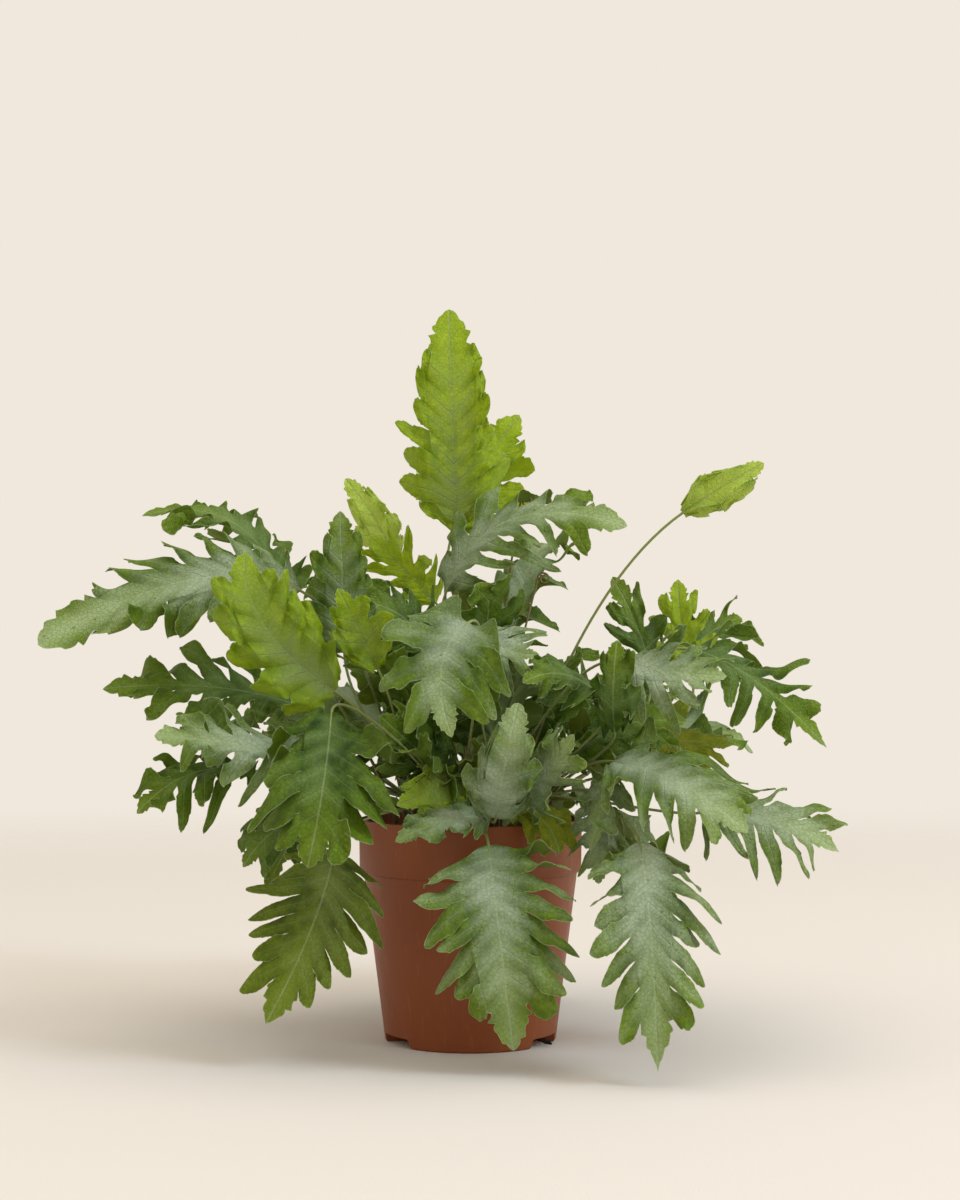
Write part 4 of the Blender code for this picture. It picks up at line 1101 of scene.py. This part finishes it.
def nudged(frond, attempt, draws):
    """A copy moved, rolled about its rib and bowed, as this attempt was."""
    effort = effort_at(attempt)
    moved = SimpleNamespace(**vars(frond))
    shift = effort * np.array(draws[:3])
    bow, roll, narrow, rise, lean = effort * draws[3], effort * draws[4], *draws[5:]
    _, _, across, up = rib_frames(frond, 0.5)
    moved.base = frond.base + shift
    moved.middle = frond.middle + shift + bow * up
    moved.tip = frond.tip + shift
    moved.facing = math.cos(math.radians(roll)) * up + math.sin(math.radians(roll)) * across
    moved.half = frond.half * (1 - effort * narrow)
    moved.rise = frond.rise * (1 + effort * rise)
    moved.lean = frond.lean + effort * lean
    return moved


def found_again(frond, corners):
    """A solid was moved a little from its first place until it was clear of the others. This is
    the attempt that it was taken from, whose tip is half the blade's thickness away from a corner
    of the solid, with the attempt's draws and how far off that is."""
    draw = random.Random(frond.name + " place")
    spans = [(-limit, limit) for limit in (*frond.reach, MOST_BOW, MOST_ROLL)]
    spans += [NARROWER, RISE_CHANGE, LEAN_CHANGE]
    draws = [[draw.uniform(*span) for span in spans] for _ in range(MOST_TRIES)]
    effort = effort_at(np.arange(MOST_TRIES))
    tips = frond.tip + effort[:, None] * np.array(draws)[:, :3]
    near = np.linalg.norm(corners - frond.tip, axis=1) < np.linalg.norm(frond.reach) + 5.0
    away = np.linalg.norm(tips[:, None] - corners[near][None], axis=2)
    gaps = np.abs(away - BLADE_HALF_THICK).min(axis=1)
    best = int(np.argmin(gaps))
    return best, draws[best], gaps[best]


def corners_of(node):
    """The corners of a node's solid, in millimetres."""
    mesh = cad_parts[node].data
    flat = np.empty(3 * len(mesh.vertices))
    mesh.vertices.foreach_get("co", flat)
    return np.unique(np.round(flat.reshape(-1, 3) / MM, 4), axis=0)


def place_fronds(free):
    """Every frond, where its solid is, and then the young ones that have no solid."""
    wanted = [seen_frond(row) for row in SEEN_FRONDS] + [hidden_frond(row) for row in HIDDEN_FRONDS]
    placed = []
    for order, frond in enumerate(wanted):
        choice = near_sockets(free, frond.middle)
        attempt, draws, gap = found_again(frond, corners_of("frond_" + frond.name))
        if gap > FOUND_WITHIN:
            raise RuntimeError(f"the tip of frond_{frond.name} isn't in its solid")
        pick = attempt % len(choice)
        moved = nudged(frond, attempt, draws)
        moved.foot = choice[pick]
        moved.inner = False
        free.pop(pick)
        placed.append(styled(moved, order))
    for order, row in enumerate(INNER_FRONDS):
        young = hidden_frond(row)
        between = FIRST_SOCKET + SOCKET_PITCH * (0.5 + 2 * (order // ARM_COUNT))
        young.foot = arm_axis(order % ARM_COUNT, between)
        young.inner = True
        placed.append(styled(young, len(wanted) + order))
    return placed


def styled(frond, order):
    """The frond with its own shape and its own draws of how wavy, pleated, tilted and waxy it is."""
    style = np.random.RandomState(1000 + order)
    frond.seed = 2000 + 10 * order
    frond.phases = style.uniform(0.0, 6.28, 4)
    vars(frond).update(zip(SHAPE_FIELDS, SHAPE.get(frond.name, USUAL_SHAPE)))
    frond.wing = frond.wing or WING_SHARE[frond.tone]
    frond.swell = style.uniform(1.3, 2.0) * frond.wild
    frond.shade = frond.wax + style.uniform(-0.12, 0.12)
    frond.pleat = style.uniform(0.14, 0.28) * (1.7 if frond.tone == "lime" else 1.0)
    frond.louver = style.choice([-1.0, 1.0]) * frond.tilt * style.uniform(0.8, 1.3)
    return frond


# Croziers

def crozier_piece(name, foot, start, coil, finishes):
    """A wiry stipe that ends in a flat coil. It is a straight line less a half sine wave sideways,
    and then a spiral whose radius falls evenly to under half as it winds in."""
    sunk = foot + (SEAT_GAP - SOCKET_DEPTH) * UPRIGHT
    leave = foot + STIPE_UPRIGHT * UPRIGHT
    v = np.linspace(0.0, 1.0, CROZIER_STEPS)[:, None]
    rise = (1 - v) * leave + v * start
    rise[:, :2] -= CROZIER_BOW * np.sin(np.pi * v) * (start - leave)[:2]
    share = np.linspace(0.0, 1.0, COIL_STEPS)[1:]
    angle = np.pi * (1 - COIL_HALF_TURNS * share)
    radius = coil * (1 - COIL_SHRINK * share)
    centre = start + np.array([coil, 0.0, 1.0])
    zero = np.zeros_like(share)
    wound = centre + np.stack([radius * np.cos(angle), zero, radius * np.sin(angle)], axis=1)
    path = np.concatenate([sunk[None], rise, wound])
    place = np.linspace(0.0, 1.0, len(path))
    radii = CROZIER_SHARE * CROZIER_RADIUS - CROZIER_TAPER * place
    radii = radii + COIL_THICKER * rising(0.6, 0.95, place)
    points, triangles = tube(path, radii, BACKWARDS, CROZIER_SIDES)
    blade = np.zeros((len(points), 4))
    blade[:, 3] = np.repeat(np.concatenate([[0.0], place, [1.0]]), CROZIER_SIDES)
    finish = [finishes["stipe_young"]]
    piece = make_mesh("young_" + name, points, triangles, finish, colours={"blade": blade})
    return settle_piece(piece, "young_stipe", name)


# The pot

def turned(profile, sides):
    """A profile of (radius, height) rows from axis to axis, carried round the upright axis."""
    radius, height = np.array(profile).T
    angle = np.linspace(0.0, 360.0, sides, endpoint=False)
    points = polar(radius[:, None], angle[None], height[:, None])
    index = np.arange(points[..., 0].size).reshape(len(profile), sides)
    index = np.concatenate([index, index[:, :1]], axis=1)
    flat = points.reshape(-1, 3)
    flat, triangles, _ = weld(flat, grid_triangles(index), np.zeros((len(flat), 1)))
    return flat, triangles


def rounded(corners):
    """A profile with its corners turned into arcs: rows of radius, height and the arc's size."""
    spots = np.array([row[:2] for row in corners], float)
    sizes = [row[2] for row in corners[1:]]
    line = [spots[0]]
    for before, here, after, size in zip(spots, spots[1:], spots[2:], sizes):
        if size == 0:
            line.append(here)
            continue
        start = here + size * units(before - here)
        end = here + size * units(after - here)
        for t in np.linspace(0.0, 1.0, 7):
            line.append((1 - t) ** 2 * start + 2 * t * (1 - t) * here + t * t * end)
    line.append(spots[-1])
    return line


def sector_block(azimuth, inner, outer, low, high, half_low, half_high):
    """A block between two radii over a sector, whose ends slope in towards the top."""
    steps = 16
    corners = (
        (inner, low, half_low), (outer, low, half_low),
        (outer, high, half_high), (inner, high, half_high),
    )
    sweep = np.linspace(-1.0, 1.0, steps + 1)
    points = np.concatenate([polar(r, azimuth + half * sweep, z) for r, z, half in corners])
    index = np.arange(len(points)).reshape(len(corners), steps + 1)
    index = np.concatenate([index, index[:1]])
    ends = np.array([[0, 1, 2], [0, 2, 3]]) * (steps + 1)
    return points, np.concatenate([grid_triangles(index), ends, ends[:, ::-1] + steps])


def cutter(name, points, triangles):
    """A closed mesh, turned to face outwards, for cutting out of another."""
    mesh = bpy.data.meshes.new(name)
    mesh.from_pydata((points * MM).tolist(), [], triangles.tolist())
    shaped = bmesh.new()
    shaped.from_mesh(mesh)
    bmesh.ops.recalc_face_normals(shaped, faces=shaped.faces)
    shaped.to_mesh(mesh)
    shaped.free()
    piece = bpy.data.objects.new(name, mesh)
    bpy.context.scene.collection.objects.link(piece)
    return piece


def cut(piece, others):
    """Cuts these objects out of the first one and removes them."""
    for other in others:
        modifier = piece.modifiers.new("cut", "BOOLEAN")
        modifier.operation = "DIFFERENCE"
        modifier.solver = "EXACT"
        modifier.object = other
    bpy.context.view_layer.update()
    graph = bpy.context.evaluated_depsgraph_get()
    result = bpy.data.meshes.new_from_object(piece.evaluated_get(graph))
    piece.modifiers.clear()
    piece.data = result
    for other in others:
        bpy.data.objects.remove(other, do_unlink=True)


def notch_blocks(grow):
    """The notches in the pot's foot, made larger all round by this much."""
    low_half = NOTCH_HALF_ANGLE + 1.6 * grow
    high_half = NOTCH_HALF_ANGLE - NOTCH_SLOPE + 1.6 * grow
    blocks = []
    for azimuth in NOTCH_AZIMUTHS:
        block = sector_block(
            azimuth, NOTCH_INNER_RADIUS - grow, FOOT_RADIUS + 8.0, -CUT_PAST, NOTCH_HEIGHT + grow,
            low_half, high_half,
        )
        blocks.append(cutter("notch", *block))
    return blocks


def drain_holes():
    """An upright hole over each notch."""
    low, high = NOTCH_HEIGHT - 2.0, NOTCH_HEIGHT + 3.2
    profile = [(0.0, low), (DRAIN_RADIUS, low), (DRAIN_RADIUS, high), (0.0, high)]
    points, triangles = turned(profile, HOLE_SIDES)
    return [
        cutter("drain", points + polar(DRAIN_FROM_AXIS, azimuth, 0.0), triangles)
        for azimuth in NOTCH_AZIMUTHS
    ]


def pot_piece(finishes):
    """The pot: a turned wall with a stepped rim band, three notches in its foot and a drain hole
    over each."""
    band = POT_HEIGHT - RIM_HEIGHT
    body = RIM_RADIUS - RIM_STEP
    band_foot = RIM_RADIUS - RIM_FLARE
    outer = rounded([
        (0.0, 0.0, 0.0), (FOOT_RADIUS - FOOT_DRAFT, 0.0, FOOT_ROUND),
        (body, band - STEP_BELOW, STEP_ROUND), (band_foot, band - STEP_ABOVE, BAND_ROUND),
        (RIM_RADIUS, POT_HEIGHT, LIP_ROUND), (RIM_RADIUS - POT_WALL, POT_HEIGHT, 0.0),
    ])
    inner = rounded([
        (0.0, POT_FLOOR, 0.0), (FOOT_RADIUS - POT_WALL, POT_FLOOR, 1.5),
        (body - POT_WALL, band - 1.0, STEP_ROUND), (band_foot - POT_WALL, band + 1.2, STEP_ROUND),
        (RIM_RADIUS - POT_WALL - 0.1, POT_HEIGHT + CUT_PAST, 0.0),
    ])
    solid = turned(outer + [(0.0, POT_HEIGHT)], POT_SIDES)
    pot = make_mesh("nursery_pot", *solid, [finishes["pot"]])
    cavity = cutter("cavity", *turned(inner + [(0.0, POT_HEIGHT + CUT_PAST)], POT_SIDES))
    cut(cavity, notch_blocks(POT_WALL))
    cut(pot, notch_blocks(0.0))
    cut(pot, [cavity] + drain_holes())
    pot.data.shade_smooth()
    pot.data.set_sharp_from_angle(angle=math.radians(40.0))
    return settle_piece(pot, "pot_plastic", "pot")


# Soil and rhizome

def peat_crumbs(finishes):
    """Lumps of peat on the soil: each a flattened ball of a few faces, pushed in and out a
    little."""
    count = CRUMB_COUNT
    ball = bmesh.new()
    bmesh.ops.create_icosphere(ball, subdivisions=1, radius=1.0)
    shape = np.array([vertex.co for vertex in ball.verts])
    faces = np.array([[vertex.index for vertex in face.verts] for face in ball.faces])
    ball.free()
    draw = np.random.RandomState(5)
    radius = CRUMBS_REACH * np.sqrt(draw.uniform(0.0, 1.0, count))
    size = draw.uniform(*CRUMB_SIZES, count)
    centre = polar(radius, draw.uniform(0.0, 360.0, count), SOIL_TOP + 0.25 * size)
    dents = draw.uniform(0.7, 1.25, (count, len(shape), 1))
    stretch = np.stack([size * draw.uniform(0.8, 1.4, count), size, 0.7 * size], axis=1)
    points = centre[:, None] + shape[None] * dents * stretch[:, None]
    points, triangles = copies(points, faces)
    piece = make_mesh("peat_crumbs", points, triangles, [finishes["soil"]])
    return settle_piece(piece, "potting_soil")


def arm_scales(arm, reach, draw):
    """Narrow pointed scales that stand up from an arm and lean outwards: each has a foot of three
    corners and a tip."""
    count = SCALES_PER_ARM
    radius = draw.uniform(8.0, reach, count)
    turn = np.radians(draw.uniform(-80.0, 80.0, count))[:, None]
    side = polar(1.0, arm_azimuth(arm) + 90.0, 0.0)
    heading = polar(1.0, arm_azimuth(arm), 0.0)
    out = np.cos(turn) * UPRIGHT + np.sin(turn) * side
    foot = arm_axis(arm, radius) - RHIZOME_HEIGHT / 2 * UPRIGHT + SCALE_FOOT * out
    lean = 0.6 * out + draw.uniform(-0.2, 1.3, (count, 1)) * heading
    lean = units(lean + 0.3 * draw.normal(size=(count, 3)))
    wide = SCALE_HALF_WIDTH * units(np.cross(lean, out + 0.01))
    deep = SCALE_DEPTH * units(np.cross(lean, wide))
    tip = foot + draw.uniform(*SCALE_LENGTHS, (count, 1)) * lean
    corners = np.stack([foot + wide, foot - wide, foot + deep, tip], axis=1)
    corners[..., 2] = np.maximum(corners[..., 2], SOIL_TOP + 0.2)
    return copies(corners, np.array([[0, 1, 2], [0, 3, 1], [1, 3, 2], [2, 3, 0]]))


def rhizome_piece(finishes):
    """Ten creeping arms with their scales, and the crown that they meet in. An arm is a tube round
    its axis, knotted by two sine waves."""
    parts = []
    draw = np.random.RandomState(77)
    for arm in range(ARM_COUNT):
        radius = np.linspace(4.0, ARM_LENGTH - ARM_LENGTH_STEP * (arm % 3) - 2.0, 28)
        path = arm_axis(arm, radius) - RHIZOME_HEIGHT / 2 * UPRIGHT
        knots = 1 + 0.10 * np.sin(radius * 1.05 + arm) + 0.05 * np.sin(radius * 2.3 + 2 * arm)
        parts.append(tube(path, ARM_RADIUS * knots, UPRIGHT, ARM_SIDES))
        parts.append(arm_scales(arm, radius[-1], draw))
    crown = [
        (0.0, RHIZOME_BASE), (10.0, RHIZOME_BASE + 0.3), (13.5, RHIZOME_BASE + 3.0),
        (12.5, RHIZOME_BASE + 5.6), (8.0, RHIZOME_TOP - 0.6), (0.0, RHIZOME_TOP),
    ]
    parts.append(turned(crown, 30))
    points, triangles = join(parts)
    piece = make_mesh("creeping_rhizome", points, triangles, [finishes["rhizome"]])
    return settle_piece(piece, "rhizome_scales", "rhizome")


# Camera, light and floor

def make_camera():
    """The photograph's view: level with the top of the pot, turned up and right by what puts the
    horizon and the pot's axis where they are in it."""
    data = bpy.data.cameras.new("camera")
    data.sensor_width = SENSOR
    data.lens = SENSOR * LENS_PIXELS / PHOTO_HEIGHT
    camera = bpy.data.objects.new("camera", data)
    camera.location = (0.0, -CAMERA_DISTANCE, CAMERA_HEIGHT)
    tilt = math.atan((HORIZON_ROW - PHOTO_CENTRE[1]) / LENS_PIXELS)
    turn = math.atan((PHOTO_CENTRE[0] - AXIS_COLUMN) / LENS_PIXELS)
    camera.rotation_euler = (math.pi / 2 + tilt, 0.0, -turn)
    bpy.context.scene.collection.objects.link(camera)
    bpy.context.scene.camera = camera


def area_light(name, azimuth, height, distance, size, power, colour):
    """A round soft light that looks at the middle of the plant from this azimuth and height."""
    data = bpy.data.lights.new(name, "AREA")
    data.shape = "DISK"
    data.size = size
    data.energy = power
    data.color = colour
    light = bpy.data.objects.new(name, data)
    light.visible_camera = False
    up = math.radians(height)
    light.location = distance * polar(math.cos(up), azimuth, math.sin(up)) + LIGHTS_AIM
    light.rotation_euler = (math.pi / 2 - up, 0.0, math.radians(azimuth + 90.0))
    bpy.context.scene.collection.objects.link(light)


def make_world():
    """A studio room: pale walls all round, as bright as the background, and a darker ceiling."""
    world = bpy.data.worlds.new("studio")
    bpy.context.scene.world = world
    world.use_nodes = True
    nodes, links = world.node_tree.nodes, world.node_tree.links
    split = nodes.new("ShaderNodeSeparateXYZ")
    links.new(nodes.new("ShaderNodeTexCoord").outputs["Generated"], split.inputs["Vector"])
    height = nodes.new("ShaderNodeMapRange")
    height.interpolation_type = "SMOOTHSTEP"
    links.new(split.outputs["Z"], height.inputs["Value"])
    height.inputs["From Min"].default_value = math.sin(math.radians(WALLS_UP_TO))
    height.inputs["From Max"].default_value = math.sin(math.radians(CEILING_FROM))
    mix = nodes.new("ShaderNodeMix")
    mix.data_type = "RGBA"
    links.new(height.outputs[0], mix.inputs[0])
    mix.inputs[6].default_value = BACKGROUND
    mix.inputs[7].default_value = CEILING
    links.new(mix.outputs[2], nodes["Background"].inputs["Color"])


def make_floor():
    """A pale floor that turns clear with the distance from the pot's axis."""
    finish = Finish("paper_floor")
    split = finish.add("ShaderNodeSeparateXYZ", {"Vector": finish.place})
    ground = finish.add("ShaderNodeCombineXYZ", {"X": split.outputs["X"], "Y": split.outputs["Y"]})
    length = finish.add("ShaderNodeVectorMath", {0: ground.outputs[0]}, operation="LENGTH")
    share = finish.step(length.outputs["Value"], *FLOOR_FADES)
    grain = finish.noise(900.0, 2.0)
    paper = finish.surface(PAPER, 0.85, finish.bump(grain, 0.0001), 0.1)
    clear = finish.add("ShaderNodeBsdfTransparent").outputs[0]
    finish.end(finish.add("ShaderNodeMixShader", {0: share, 1: paper, 2: clear}).outputs[0])
    mesh = bpy.data.meshes.new("floor")
    corners = [(FLOOR_HALF * x, FLOOR_HALF * y, 0) for x, y in ((-1, -1), (1, -1), (1, 1), (-1, 1))]
    mesh.from_pydata(corners, [], [(0, 1, 2, 3)])
    mesh.materials.append(finish.material)
    floor = bpy.data.objects.new("floor", mesh)
    bpy.context.scene.collection.objects.link(floor)


def make_stage():
    """The room, the floor, a soft key light, a wide fill from above and a weak light from the
    right."""
    make_world()
    make_floor()
    for row in LIGHTS:
        area_light(*row)
    bpy.context.scene.view_settings.view_transform = "Standard"


def make_finishes():
    """Every material of the plant and the pot, by a short name."""
    finishes = {tone: leaf_finish(tone) for tone in TONES}
    finishes.update({"back_" + tone: leaf_back_finish(tone) for tone in TONES})
    for name, low, high in STIPES:
        finishes[name] = stipe_finish(name, low, high)
    finishes["pot"] = pot_finish()
    finishes["soil"] = soil_finish()
    finishes["rhizome"] = rhizome_finish()
    return finishes


def main():
    make_camera()
    make_stage()
    finishes = make_finishes()
    pot_piece(finishes)
    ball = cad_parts["root_ball"]
    ball.data.materials.clear()
    ball.data.materials.append(finishes["soil"])
    peat_crumbs(finishes)
    rhizome_piece(finishes)

    free = sockets()
    for name, start, coil in CROZIERS:
        start = np.array(start, float)
        near_sockets(free, start)
        crozier_piece(name, free.pop(0), start, coil, finishes)
    for frond in place_fronds(free):
        frond_piece(frond, finishes)


main()
